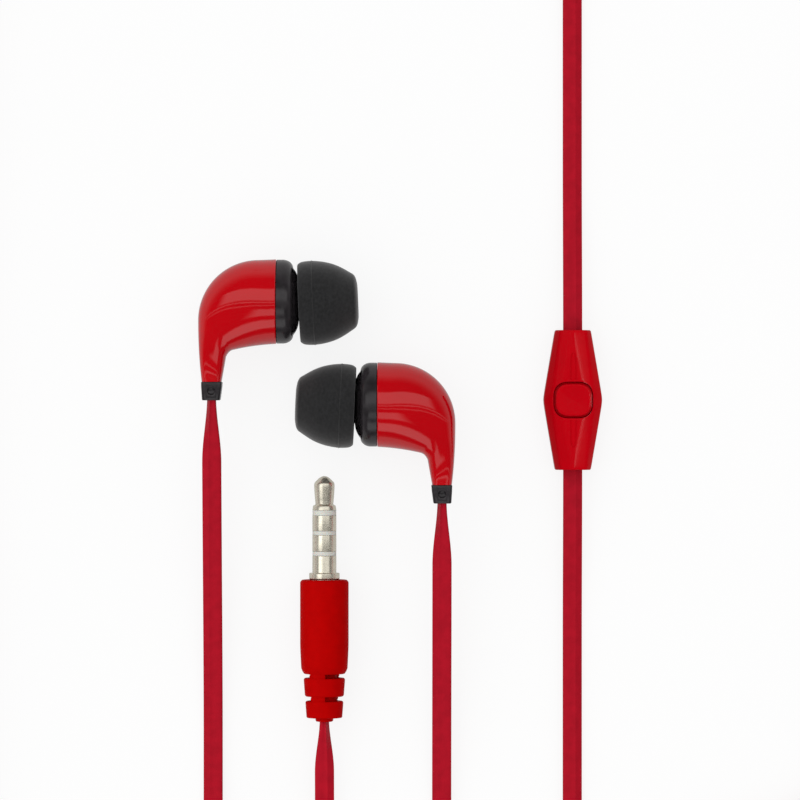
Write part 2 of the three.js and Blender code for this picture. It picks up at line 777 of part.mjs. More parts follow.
// The red barrel and its ribbed strain relief, hollow for the inner moulding and the cable.
function plugBarrel() {
  const slotRadius = 1.9;
  const cavityEnd = BARREL_END - 2;
  return turned([
    [BARREL_START, 2.05],
    [BARREL_START, 3.2],
    [BARREL_START + 0.25, 3.46],
    [BARREL_START + 10.5, 3.46],
    [BARREL_END - 1, 3.36],
    [BARREL_END - 0.3, 3.2],
    [BARREL_END, 2.9],
    [BARREL_END, slotRadius],
    [BARREL_END + 0.5, slotRadius],
    [BARREL_END + 0.5, 2.93],
    [BARREL_END + 3.2, 2.73],
    [BARREL_END + 3.2, slotRadius],
    [BARREL_END + 3.75, slotRadius],
    [BARREL_END + 3.75, 2.65],
    [BOOT_END - 0.4, 2.48],
    [BOOT_END, 2],
    [BOOT_END, 1.52],
    [cavityEnd, 1.52],
    [cavityEnd, 2.6],
    [BARREL_START + 1.6, 2.6],
    [BARREL_START + 1.6, 2.05],
  ], { ring: true });
}

// The plastic body behind the contacts, with a skirt round the sleeve's tail.
function innerMould() {
  const floor = 17.6;
  const end = BARREL_END - 4;
  const profile = [[floor, 0], [floor, 2], [floor - 0.8, 2], [floor - 0.8, 2.5], [end, 2.5], [end, 0]];
  return turned(profile, { steps: SMALL_ROUND_STEPS });
}

function plugCableEnd() {
  const start = BARREL_END - 3;
  const trail = new Trail(PLUG_X, PLUG_TIP_Y - PLUG_PIVOT + PIVOT_GAP, 90, PLUG_HEIGHT, ON_EDGE);
  trail.run(PLUG_PIVOT - PIVOT_GAP - start);
  return loft(trail.loops(false, false));
}

function plug() {
  const group = new THREE.Group();
  const add = (name, geometry, material) => group.add(named(`plug_${name}`, geometry, material));
  add('tip_contact', tipContact(), FINISH.nickel());
  add('insulator_front', nestedBand(4.98, 5.72, PLUG_RADIUS, 0.43, 0.62, 17), FINISH.insulator());
  add('ring_contact_front', nestedBand(5.75, 8, PLUG_RADIUS, 0.65, 0.84, 16.75), FINISH.nickel());
  add('insulator_middle', nestedBand(8.03, 8.57, PLUG_RADIUS, 0.87, 1.06, 16.7), FINISH.insulator());
  add('ring_contact_rear', nestedBand(8.6, 11, PLUG_RADIUS, 1.09, 1.26, 16.65), FINISH.nickel());
  add('insulator_rear', nestedBand(11.03, 11.6, PLUG_RADIUS, 1.29, 1.46, 16.6), FINISH.insulator());
  add('sleeve_contact', sleeveContact(), FINISH.nickel());
  add('inner_mould', innerMould(), FINISH.insulator());
  add('barrel', plugBarrel(), FINISH.satinRed());
  group.position.set(PLUG_X, PLUG_TIP_Y, PLUG_HEIGHT);
  group.rotation.z = -Math.PI / 2;
  return group;
}

// ---- splitter ----

function splitterLoop(y, halfWidth) {
  const bevel = 0.7;
  const half = [
    [halfWidth - bevel, 0],
    [halfWidth, bevel],
    [halfWidth, SPLITTER_HEIGHT - bevel],
    [halfWidth - bevel, SPLITTER_HEIGHT],
  ];
  const loop = [...half, ...half.map(([x, z]) => [-x, z]).reverse()];
  return loop.map(([x, z]) => new THREE.Vector3(SPLITTER.x + x, y, z));
}

function splitter() {
  const start = SPLITTER.y - SPLITTER_LENGTH / 2;
  const end = SPLITTER.y + SPLITTER_LENGTH / 2;
  const body = loft([splitterLoop(start, 3.9), splitterLoop(SPLITTER.y, 3.9), splitterLoop(end, 2.5)]);
  const slot = (x, y) => box(CABLE_THICKNESS + 0.2, 6, CABLE_WIDTH + 0.1, x, y, SPLITTER_HEIGHT / 2);
  const cavity = box(4.8, SPLITTER_LENGTH - 4, 2.9, SPLITTER.x, SPLITTER.y, SPLITTER_HEIGHT / 2);
  const shell = cut(
    body,
    cavity,
    slot(SPLITTER.x - BRANCH_SPACING / 2, start),
    slot(SPLITTER.x + BRANCH_SPACING / 2, start),
    slot(SPLITTER.x, end),
  );
  const crimp = box(3.6, 4, 2.2, SPLITTER.x, SPLITTER.y, SPLITTER_HEIGHT / 2);
  return [
    named('splitter_shell', shell, FINISH.satinRed()),
    named('splitter_crimp', crimp, FINISH.steel()),
  ];
}

// ---- assembly ----

const earphones = new THREE.Group();
earphones.name = 'wired_earphones';
earphones.add(
  earbud(-1, LEFT_SEAM),
  earbud(1, RIGHT_SEAM),
  named('left_cable_end', budCableEnd(LEFT_SEAM, -1), FINISH.cableRed()),
  named('right_cable_end', budCableEnd(RIGHT_SEAM, 1), FINISH.cableRed()),
  named('left_cable', leftCable(), FINISH.cableRed()),
  named('right_upper_cable', rightUpperCable(), FINISH.cableRed()),
  named('right_lower_cable', rightLowerCable(), FINISH.cableRed()),
  named('main_cable', mainCable(), FINISH.cableRed()),
  named('plug_cable_end', plugCableEnd(), FINISH.cableRed()),
  ...remote(),
  plug(),
  ...splitter(),
);

export default earphones;
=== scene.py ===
"""Visual model of the wired earphones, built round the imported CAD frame.

Shapes are drawn in millimetres in each piece's own frame, then placed in the row frame.
The row frame is in metres.
"""

import json
import math

import bmesh
import bpy
from mathutils import Matrix, Vector


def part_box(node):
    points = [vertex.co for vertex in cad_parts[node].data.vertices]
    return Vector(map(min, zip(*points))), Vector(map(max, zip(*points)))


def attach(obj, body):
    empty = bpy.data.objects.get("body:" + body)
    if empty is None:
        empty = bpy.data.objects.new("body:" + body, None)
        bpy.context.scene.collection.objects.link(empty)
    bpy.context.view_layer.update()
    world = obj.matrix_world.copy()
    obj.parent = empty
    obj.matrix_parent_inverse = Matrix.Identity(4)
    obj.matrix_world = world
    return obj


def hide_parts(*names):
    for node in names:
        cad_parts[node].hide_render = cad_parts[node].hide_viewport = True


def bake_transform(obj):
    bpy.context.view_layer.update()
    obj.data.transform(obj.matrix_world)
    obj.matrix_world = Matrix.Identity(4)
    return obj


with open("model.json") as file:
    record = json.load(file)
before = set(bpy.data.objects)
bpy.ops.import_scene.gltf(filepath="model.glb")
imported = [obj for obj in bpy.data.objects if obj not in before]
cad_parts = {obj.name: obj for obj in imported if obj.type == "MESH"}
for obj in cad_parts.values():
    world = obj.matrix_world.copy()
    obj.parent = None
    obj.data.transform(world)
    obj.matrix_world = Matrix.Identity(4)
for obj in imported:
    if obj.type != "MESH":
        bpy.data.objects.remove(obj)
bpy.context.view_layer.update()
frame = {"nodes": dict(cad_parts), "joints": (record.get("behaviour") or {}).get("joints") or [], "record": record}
JOINTS = {joint["name"]: joint for joint in frame["joints"]}
MM = 0.001
SIDES = ("left", "right")


# ---- placing ----

def box_centre(node):
    low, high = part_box(node)
    return (low + high) / 2


def axes_frame(origin, x_axis, y_axis):
    """Millimetres in the frame with these axes, to metres in the row frame."""
    x_axis = Vector(x_axis).normalized()
    z_axis = x_axis.cross(Vector(y_axis)).normalized()
    y_axis = z_axis.cross(x_axis)
    turn = Matrix((x_axis, y_axis, z_axis)).transposed().to_4x4()
    return Matrix.Translation(origin) @ turn @ Matrix.Scale(MM, 4)


PLATE_CENTRE = -0.9      # the driver plate's middle, along the barrel from the seam
NOZZLE_ROOT = 2.45       # the front ring's face, along the barrel from the seam
NOZZLE_DROP = 0.3        # the nozzle sits this much nearer the stem than the barrel's middle
NOZZLE_LENGTH = 6.05
NOZZLE_BORE = 1.75


def bud_frame(side):
    """x from the seam towards the ear, y away from the stem.

    The right earbud's frame has its z pointing down.
    """
    axis = Vector(JOINTS[f"{side}_cone_stroke"]["axis"]).normalized()
    seam = box_centre(f"{side}_driver_plate") - axis * PLATE_CENTRE * MM
    return axes_frame(seam, axis, (0, 1, 0))


def nozzle_frame(side):
    root = bud_frame(side) @ Vector((NOZZLE_ROOT, -NOZZLE_DROP, 0))
    return axes_frame(root, JOINTS[f"{side}_tip_pull"]["axis"], (0, 1, 0))


def plug_frame():
    """x from the point of the plug towards the cable."""
    middle = box_centre("plug_tip_contact")
    tip_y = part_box("plug_tip_contact")[1].y
    return axes_frame(Vector((middle.x, tip_y, middle.z)), (0, -1, 0), (1, 0, 0))


ROW_FRAME = Matrix.Scale(MM, 4)


# ---- mesh helpers ----

def add_object(name, data):
    made = bpy.data.objects.new(name, data)
    bpy.context.scene.collection.objects.link(made)
    return made


def make_piece(name, verts, faces, matrix, body=None, slot=None, replaced=(), sharp=35, material=None):
    """A smooth-shaded piece. Its material is the slot's, unless it is given another."""
    mesh = bpy.data.meshes.new(name)
    mesh.from_pydata([tuple(matrix @ Vector(v)) for v in verts], [], faces)
    mesh.validate()
    shape = bmesh.new()
    shape.from_mesh(mesh)
    bmesh.ops.recalc_face_normals(shape, faces=shape.faces)
    shape.to_mesh(mesh)
    shape.free()
    mesh.shade_smooth()
    mesh.set_sharp_from_angle(angle=math.radians(sharp))
    piece = add_object(name, mesh)
    if body:
        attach(piece, body)
    if slot:
        mesh.materials.append(material or LOOKS[slot])
    if replaced:
        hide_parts(*replaced)
    return piece


def loft(loops, tube=False):
    """Vertices and faces through loops of points.

    A tube's last loop joins its first. Otherwise both ends close.
    """
    count = len(loops[0])
    verts = [point for loop in loops for point in loop]
    faces = []
    for row in range(len(loops) if tube else len(loops) - 1):
        here, after = row * count, ((row + 1) % len(loops)) * count
        for i in range(count):
            j = (i + 1) % count
            faces.append((here + i, here + j, after + j, after + i))
    if not tube:
        last = (len(loops) - 1) * count
        faces.append(tuple(range(count))[::-1])
        faces.append(tuple(last + i for i in range(count)))
    return verts, faces


def rounded(points, closed=False, steps=4):
    """The outline with each corner that carries a third value, its radius, replaced by a smooth curve."""
    out = []
    count = len(points)
    for i, point in enumerate(points):
        here = Vector(point[:2])
        radius = point[2] if len(point) > 2 else 0
        if not radius or (not closed and i in (0, count - 1)):
            out.append(tuple(here))
            continue
        before = Vector(points[i - 1][:2]) - here
        after = Vector(points[(i + 1) % count][:2]) - here
        start = here + before.normalized() * min(radius, before.length * 0.48)
        end = here + after.normalized() * min(radius, after.length * 0.48)
        for k in range(steps + 1):
            t = k / steps
            out.append(tuple(start * (1 - t) ** 2 + here * 2 * t * (1 - t) + end * t * t))
    return out


def rounded_rectangle(width, length, corner, steps=10):
    w, l = width / 2, length / 2
    corners = [(w, l, corner), (-w, l, corner), (-w, -l, corner), (w, -l, corner)]
    return rounded(corners, closed=True, steps=steps)


def turned(profile, ring=False, steps=96):
    """A turned solid along x from (x, radius) points. A ring's profile closes on itself."""
    verts, faces = [], []
    rows = []
    for x, radius in profile:
        if radius < 1e-6:
            rows.append([len(verts)] * steps)
            verts.append((x, 0, 0))
        else:
            rows.append([len(verts) + i for i in range(steps)])
            angles = [2 * math.pi * i / steps for i in range(steps)]
            verts += [(x, radius * math.cos(a), radius * math.sin(a)) for a in angles]
    for row in range(len(rows) if ring else len(rows) - 1):
        here, after = rows[row], rows[(row + 1) % len(rows)]
        for i in range(steps):
            j = (i + 1) % steps
            corners = [here[i], here[j], after[j], after[i]]
            corners = [c for k, c in enumerate(corners) if c not in corners[:k]]
            if len(corners) > 2:
                faces.append(tuple(corners))
    return verts, faces


def smoothstep(value, low, high):
    t = min(max((value - low) / (high - low), 0), 1)
    return t * t * (3 - 2 * t)


def lerp(a, b, share):
    return a + (b - a) * share


def apply_modifiers(piece):
    """Bakes the piece's modifiers into its mesh."""
    graph = bpy.context.evaluated_depsgraph_get()
    baked = bpy.data.meshes.new_from_object(piece.evaluated_get(graph))
    piece.modifiers.clear()
    piece.data = baked


def carve(piece, cutter):
    """Cuts the cutter's shape out of the piece and removes the cutter."""
    modifier = piece.modifiers.new("carve", "BOOLEAN")
    modifier.object = cutter
    modifier.solver = "EXACT"
    apply_modifiers(piece)
    bpy.data.objects.remove(cutter)
    piece.data.shade_smooth()
    piece.data.set_sharp_from_angle(angle=math.radians(30))


def soften(piece, width, segments=3, angle=30):
    """Rounds the piece's sharp edges by width millimetres."""
    modifier = piece.modifiers.new("soften", "BEVEL")
    modifier.width = width * MM
    modifier.segments = segments
    modifier.limit_method = "ANGLE"
    modifier.angle_limit = math.radians(angle)
    apply_modifiers(piece)
    piece.data.shade_smooth()
    piece.data.set_sharp_from_angle(angle=math.radians(50))


# ---- materials ----

class Shader:
    """A node material with a Principled surface, built a step at a time."""

    def __init__(self, name, colour, roughness, metallic=0.0):
        self.material = bpy.data.materials.new(name)
        self.material.use_nodes = True
        self.tree = self.material.node_tree
        self.surface = self.tree.nodes["Principled BSDF"]
        self.colour = colour
        self.surface.inputs["Base Color"].default_value = (*colour, 1)
        self.surface.inputs["Roughness"].default_value = roughness
        self.surface.inputs["Metallic"].default_value = metallic
        self.place = self.node("ShaderNodeTexCoord").outputs["Object"]
        self.height = None

    def node(self, kind, **settings):
        made = self.tree.nodes.new(kind)
        for key, value in settings.items():
            setattr(made, key, value)
        return made

    def link(self, source, target):
        self.tree.links.new(source, target)

    def noise(self, size_mm, detail=4, stretch=(1, 1, 1)):
        """Noise whose features are about size_mm across."""
        mapping = self.node("ShaderNodeMapping")
        mapping.inputs["Scale"].default_value = stretch
        self.link(self.place, mapping.inputs["Vector"])
        noise = self.node("ShaderNodeTexNoise")
        noise.inputs["Scale"].default_value = 1 / (size_mm * MM)
        noise.inputs["Detail"].default_value = detail
        self.link(mapping.outputs["Vector"], noise.inputs["Vector"])
        return noise.outputs["Fac"]

    def vary_colour(self, source, dark, light, low=0.35, high=0.65):
        """Base colour between two shares of the plain colour, by a 0 to 1 source."""
        ramp = self.node("ShaderNodeValToRGB")
        ramp.color_ramp.elements[0].position = low
        ramp.color_ramp.elements[1].position = high
        ramp.color_ramp.elements[0].color = (*[c * dark for c in self.colour], 1)
        ramp.color_ramp.elements[1].color = (*[min(c * light, 1) for c in self.colour], 1)
        self.link(source, ramp.inputs["Fac"])
        self.link(ramp.outputs["Color"], self.surface.inputs["Base Color"])

    def vary_roughness(self, source, low, high):
        spread = self.node("ShaderNodeMapRange")
        spread.inputs["From Min"].default_value = 0.3
        spread.inputs["From Max"].default_value = 0.7
        spread.inputs["To Min"].default_value = low
        spread.inputs["To Max"].default_value = high
        self.link(source, spread.inputs["Value"])
        self.link(spread.outputs["Result"], self.surface.inputs["Roughness"])

    def bump(self, source, height_mm, strength=1.0):
        """Adds fine relief, on top of any relief added before."""
        bump = self.node("ShaderNodeBump")
        bump.inputs["Strength"].default_value = strength
        bump.inputs["Distance"].default_value = height_mm * MM
        self.link(source, bump.inputs["Height"])
        if self.height:
            self.link(self.height, bump.inputs["Normal"])
        self.height = bump.outputs["Normal"]
        self.link(self.height, self.surface.inputs["Normal"])

    def set(self, **inputs):
        for key, value in inputs.items():
            self.surface.inputs[key.replace("_", " ")].default_value = value


def gloss_red():
    shader = Shader("gloss_red", (0.49, 0.0004, 0.0040), 0.10)
    shader.vary_colour(shader.noise(6, detail=2), 0.96, 1.03)
    shader.bump(shader.noise(1.6, detail=1), 0.004, 0.35)
    shader.vary_roughness(shader.noise(0.5), 0.045, 0.08)
    return shader.material


def remote_red():
    shader = Shader("remote_red", (0.39, 0.0003, 0.0040), 0.14)
    shader.set(Specular_IOR_Level=0.035)
    shader.vary_colour(shader.noise(3, detail=2), 0.96, 1.03)
    shader.bump(shader.noise(1.2, detail=1), 0.004, 0.3)
    return shader.material


def satin_red():
    shader = Shader("satin_red", (0.415, 0.0003, 0.0004), 0.42)
    shader.set(Specular_IOR_Level=0.012)
    shader.vary_colour(shader.noise(1.2), 0.95, 1.04)
    shader.vary_roughness(shader.noise(0.3), 0.38, 0.50)
    shader.bump(shader.noise(0.07, detail=3), 0.004, 0.5)
    return shader.material


def cable_red():
    shader = Shader("cable_red", (0.41, 0.0045, 0.0165), 0.45)
    shader.set(Specular_IOR_Level=0.06)
    shader.vary_colour(shader.noise(1.4, detail=5), 0.92, 1.06)
    shader.vary_roughness(shader.noise(0.5), 0.42, 0.55)
    shader.bump(shader.noise(0.12, detail=3), 0.006, 0.5)
    return shader.material


def gloss_black():
    shader = Shader("gloss_black", (0.021, 0.018, 0.020), 0.3)
    shader.set(Specular_IOR_Level=0.4)
    shader.vary_colour(shader.noise(1.5), 0.8, 1.25)
    shader.vary_roughness(shader.noise(0.4), 0.16, 0.26)
    shader.bump(shader.noise(0.9, detail=2), 0.006, 0.4)
    return shader.material


def silicone():
    shader = Shader("silicone", (0.0105, 0.0105, 0.0112), 0.75)
    shader.vary_colour(shader.noise(0.35, detail=8, stretch=(1, 0.6, 0.6)), 0.75, 1.4)
    shader.vary_roughness(shader.noise(0.35), 0.62, 0.80)
    shader.bump(shader.noise(0.10, detail=4), 0.010, 0.6)
    shader.set(Specular_IOR_Level=0.3, Sheen_Weight=0.40, Sheen_Roughness=0.45)
    return shader.material


def nickel():
    shader = Shader("nickel", (0.80, 0.75, 0.62), 0.24, metallic=0.85)
    shader.vary_colour(shader.noise(0.8, detail=2), 0.94, 1.04)
    shader.vary_roughness(shader.noise(0.3, detail=2), 0.22, 0.30)
    return shader.material


def insulator():
    shader = Shader("insulator_white", (0.62, 0.61, 0.56), 0.38)
    shader.vary_colour(shader.noise(0.4), 0.95, 1.04)
    shader.bump(shader.noise(0.15), 0.003, 0.4)
    shader.set(Subsurface_Weight=0.15, Subsurface_Scale=0.0005)
    return shader.material


def plain(name, colour, roughness, metallic=0.0, grain=0.2):
    """A material for the inner parts: plain, with a fine grain."""
    shader = Shader(name, colour, roughness, metallic=metallic)
    shader.vary_colour(shader.noise(grain * 3), 0.9, 1.08)
    shader.bump(shader.noise(grain), 0.004, 0.5)
    return shader.material


def woven_steel():
    """Fine woven wire cloth: wires both ways, with painted shade making the gaps between them dark."""
    shader = Shader("woven_steel", (0.30, 0.30, 0.31), 0.35, metallic=0.9)
    pitch = 0.16
    heights = []
    for direction in ("Y", "Z"):
        wires = shader.node("ShaderNodeTexWave", wave_type="BANDS", bands_direction=direction)
        wires.inputs["Scale"].default_value = 0.05 * 2 * math.pi / (pitch * MM)
        shader.link(shader.place, wires.inputs["Vector"])
        heights.append(wires.outputs["Fac"])
    top = shader.node("ShaderNodeMath", operation="MAXIMUM")
    shader.link(heights[0], top.inputs[0])
    shader.link(heights[1], top.inputs[1])
    # painted shade: the gaps between the wires get a near-black colour in place of open holes
    shader.vary_colour(top.outputs["Value"], 0.03, 1.2, 0.55, 0.85)
    shader.bump(top.outputs["Value"], 0.05, 1.0)
    return shader.material


REMOTE_RED = remote_red()
LOOKS = {
    "gloss_red": gloss_red(),
    "satin_red": satin_red(),
    "cable_red": cable_red(),
    "gloss_black": gloss_black(),
    "silicone": silicone(),
    "nickel": nickel(),
    "insulator_white": insulator(),
    "steel": plain("steel", (0.45, 0.45, 0.46), 0.35, metallic=1.0),
    "copper_coil": plain("copper_coil", (0.55, 0.24, 0.10), 0.35, metallic=1.0),
    "film": plain("film", (0.62, 0.58, 0.42), 0.35),
    "board_green": plain("board_green", (0.02, 0.10, 0.045), 0.45),
    "soft_black": plain("soft_black", (0.02, 0.02, 0.02), 0.9),
    "woven_steel": woven_steel(),
}


def dress_cad_nodes():
    """Gives every CAD node its slot's material, since the hidden inner parts stay as they are."""
    for entry in frame["record"]["subparts"]:
        node = frame["nodes"][entry["node"]]
        node.data.materials.clear()
        node.data.materials.append(LOOKS[entry["material_slot"]])
    for side in SIDES:
        mesh_disc = frame["nodes"][f"{side}_nozzle_mesh"]
        mesh_disc.data.materials.clear()
        mesh_disc.data.materials.append(LOOKS["woven_steel"])


# ---- earbud ----

BARREL_RADIUS = 6.15
BEND_CENTRE = (-2.6, -2.7)
BEND_RADIUS = 8.75
STEM_END = -11.65
STEM_CENTRE = -9.4
STEM_HALF_DEPTH = 2.15
COLLAR_END = 14.35       # from the barrel's axis down the stem to the collar's end


def arc_points(centre, radius, start_deg, end_deg, steps):
    angles = [math.radians(lerp(start_deg, end_deg, i / steps)) for i in range(steps + 1)]
    return [Vector((centre[0] + radius * math.cos(a), centre[1] + radius * math.sin(a))) for a in angles]


def curve_points(a, b, c, steps):
    a, b, c = Vector(a), Vector(b), Vector(c)
    return [a * (1 - t) ** 2 + b * 2 * t * (1 - t) + c * t * t for t in (i / steps for i in range(steps + 1))]


def along(points, share):
    """The point at a share of the outline's length."""
    lengths = [(b - a).length for a, b in zip(points, points[1:])]
    left = share * sum(lengths)
    for a, b, length in zip(points, points[1:], lengths):
        if left <= length:
            return a.lerp(b, left / length)
        left -= length
    return points[-1].copy()


OUTER_OUTLINE = (
    [Vector((0, BARREL_RADIUS))]
    + arc_points(BEND_CENTRE, BEND_RADIUS, 90, 180, 90)
    + curve_points((-11.35, -2.7), (-11.35, -7.5), (-10.83, STEM_END), 40)[1:]
)
INNER_OUTLINE = (
    curve_points((0, -BARREL_RADIUS), (-3.2, -6.3), (-6.3, -7.02), 30)
    + curve_points((-6.3, -7.02), (-6.9, -7.15), (-7.3, -8.0), 12)[1:]
    + [Vector((-7.95, STEM_END))]
)


def housing_loop(share, wall, steps):
    """A loop round the housing: a circle at the barrel that turns into a rounded box at the stem's end."""
    outer, inner = along(OUTER_OUTLINE, share), along(INNER_OUTLINE, share)
    centre, across = (outer + inner) / 2, outer - inner
    half_width = across.length / 2 - wall
    across.normalize()
    half_depth = lerp(BARREL_RADIUS, STEM_HALF_DEPTH, smoothstep(share, 0.04, 0.95)) - wall
    power = 2 / lerp(2, 3.6, share * share)
    loop = []
    for i in range(steps):
        angle = 2 * math.pi * i / steps
        c, s = math.cos(angle), math.sin(angle)
        a = half_width * math.copysign(abs(c) ** power, c)
        b = half_depth * math.copysign(abs(s) ** power, s)
        loop.append((centre.x + across.x * a, centre.y + across.y * a, b))
    return loop


def build_housing(side):
    """One glossy shell from the round barrel, through the bend, to the slim stem."""
    rows, steps = 72, 96
    shares = [i / rows for i in range(rows + 1)]
    barrel_wall, stem_wall, edge = 0.8, 0.5, 0.06
    outside = [housing_loop(share, 0, steps) for share in shares]
    lip = [housing_loop(0, edge, steps)]
    inside = []
    for share in shares[::4]:
        wall = lerp(barrel_wall, stem_wall, smoothstep(share, 0.5, 1))
        inside.append(housing_loop(share, wall, steps))
    first = [(x - 0.08, y, z) for x, y, z in outside[0]]
    loops = lip + [first] + outside[1:] + inside[::-1]
    make_piece(
        f"{side}_housing", *loft(loops, tube=True), bud_frame(side), f"{side}_earbud",
        "gloss_red", [f"{side}_rear_shell"],
    )


def ring_profile():
    """Rounded shoulder, domed face, nozzle with its retaining lip, and the step that seats the driver."""
    shoulder, face_radius, rim = 0.95, 4.9, 6.1
    rounding = []
    for i in range(13):
        angle = math.radians(90 * i / 12)
        x = shoulder + (NOZZLE_ROOT - shoulder) * math.sin(angle)
        rounding.append((x, face_radius + (rim - face_radius) * math.cos(angle)))
    face = [(NOZZLE_ROOT + 0.4, 4.35, 0.3), (NOZZLE_ROOT + 0.75, 3.5, 0.4), (NOZZLE_ROOT + 0.85, 2.4, 0.15)]
    end = NOZZLE_ROOT + NOZZLE_LENGTH
    nozzle = [
        (end - 1.1, 2.4, 0.1), (end - 0.9, 2.72, 0.1), (end - 0.4, 2.72, 0.2), (end, 2.3, 0.1),
        (end, NOZZLE_BORE, 0.1), (1.75, NOZZLE_BORE),
    ]
    seat = [(0.8, 4.75), (-0.9, 4.75), (-0.9, 5.0), (0.04, 5.0)]
    return rounded([(0.04, rim - 0.12), (0.12, rim), *rounding, *face, *nozzle, *seat])


def build_front_ring(side):
    """Black ring with the nozzle, which sits low and leans away from the stem."""
    verts, faces = turned(ring_profile(), ring=True)
    tilt = Vector(JOINTS[f"{side}_tip_pull"]["axis"]).normalized()
    lean = tilt.y / math.hypot(tilt.x, tilt.z)
    leaning = []
    for x, y, z in verts:
        in_nozzle = x > 1.7 and math.hypot(y, z) < 2.9
        shift = max(x - NOZZLE_ROOT, 0) * lean
        leaning.append((x, y - NOZZLE_DROP + shift if in_nozzle else y, z))
    make_piece(
        f"{side}_ring", leaning, faces, bud_frame(side), f"{side}_earbud",
        "gloss_black", [f"{side}_front_ring"],
    )


TIP_GAP = 0.85
TIP_LENGTH = 8.6


def build_tip(side):
    """Hollow silicone dome with an inner sleeve and a fine parting line round its widest part."""
    skirt = [(0, 5.62, 0.2), (0.45, 5.98, 0.3), (1.2, 6.1, 0.5)]
    parting_line = [(2.0, 6.12), (2.08, 6.19), (2.16, 6.12)]
    dome = [
        (3.4, 6.0, 0.8), (4.7, 5.7, 0.8), (5.7, 5.32, 0.8), (6.6, 4.85, 0.8), (8.12, 3.88, 0.22),
        (8.4, 3.4, 0.3), (TIP_LENGTH, 2.45, 0.5), (TIP_LENGTH, 2.0, 0.1),
    ]
    sleeve = [
        (5.4, 2.0), (5.4, 2.86), (0.6, 2.86, 0.1), (0.6, 3.5, 0.15), (6, 3.5, 0.4), (6, 4.6, 0.4),
        (5, 5.12, 0.5), (3.7, 5.5, 0.5), (2.2, 5.68, 0.5), (0, 5.42, 0.12),
    ]
    profile = rounded(skirt + parting_line + dome + sleeve, closed=True)
    hollow = turned([(x + TIP_GAP, r) for x, r in profile], ring=True, steps=112)
    make_piece(
        f"{side}_silicone_tip", *hollow, nozzle_frame(side), f"{side}_tip",
        "silicone", [f"{side}_ear_tip"],
    )


def build_collar(side):
    """Small glossy collar below the stem, tapered, with a round dimple on its upper face."""
    corner = 0.45
    end = -COLLAR_END
    outside = [
        (STEM_END, -9.36, 2.85, 3.85), (STEM_END - 0.10, -9.36, 3.04, 4.0),
        (STEM_END - 0.9, -9.38, 2.95, 3.95), (end + 0.13, -9.44, 2.62, 3.8), (end, -9.44, 2.45, 3.65),
    ]
    bore = [(end, STEM_CENTRE, 1.42, 2.92), (STEM_END, STEM_CENTRE, 1.42, 2.92)]
    loops = []
    for y, x, w, d in outside + bore:
        loops.append([(x + a, y, b) for a, b in rounded_rectangle(w, d, corner, steps=6)])
    place = bud_frame(side)
    piece = make_piece(
        f"{side}_collar", *loft(loops, tube=True), place, None,
        "gloss_black", [f"{side}_cable_collar"],
    )
    up = 1 if side == "left" else -1
    dimple = turned([(0, 0), (0.02, 0.35), (0.12, 0.55), (0.6, 0.6), (0.6, 0)], steps=32)
    turn = Matrix.Rotation(-up * math.pi / 2, 4, "Y")
    dimple_place = place @ Matrix.Translation((STEM_CENTRE, -13.0, up * 1.62)) @ turn
    carve(piece, make_piece("dimple_cutter", *dimple, dimple_place))
    soften(piece, 0.05, segments=2)
    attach(piece, f"{side}_earbud")


# ---- flat cable ----

CABLE_WIDTH = 2.8
CABLE_THICKNESS = 1.3
FLAT_HEIGHT = CABLE_THICKNESS / 2
EDGE_HEIGHT = CABLE_WIDTH / 2
FLAT, ON_EDGE = 0, 90
TWIST_LENGTH = 10
BEND_STEP = 4


def cable_section():
    """Rounded flat section with a faint channel down the middle of each face."""
    w, t = CABLE_WIDTH / 2, CABLE_THICKNESS / 2
    corner = 0.52
    channel = 0.045
    side, middle = t - channel, t - channel * 1.3
    top = [(w, t, corner), (0.45, t), (0.22, side), (0, middle), (-0.22, side), (-0.45, t)]
    half = [(w, 0)] + top
    outline = half + [(-x, -y, *r) for x, y, *r in half]
    return rounded(outline, closed=True, steps=6)


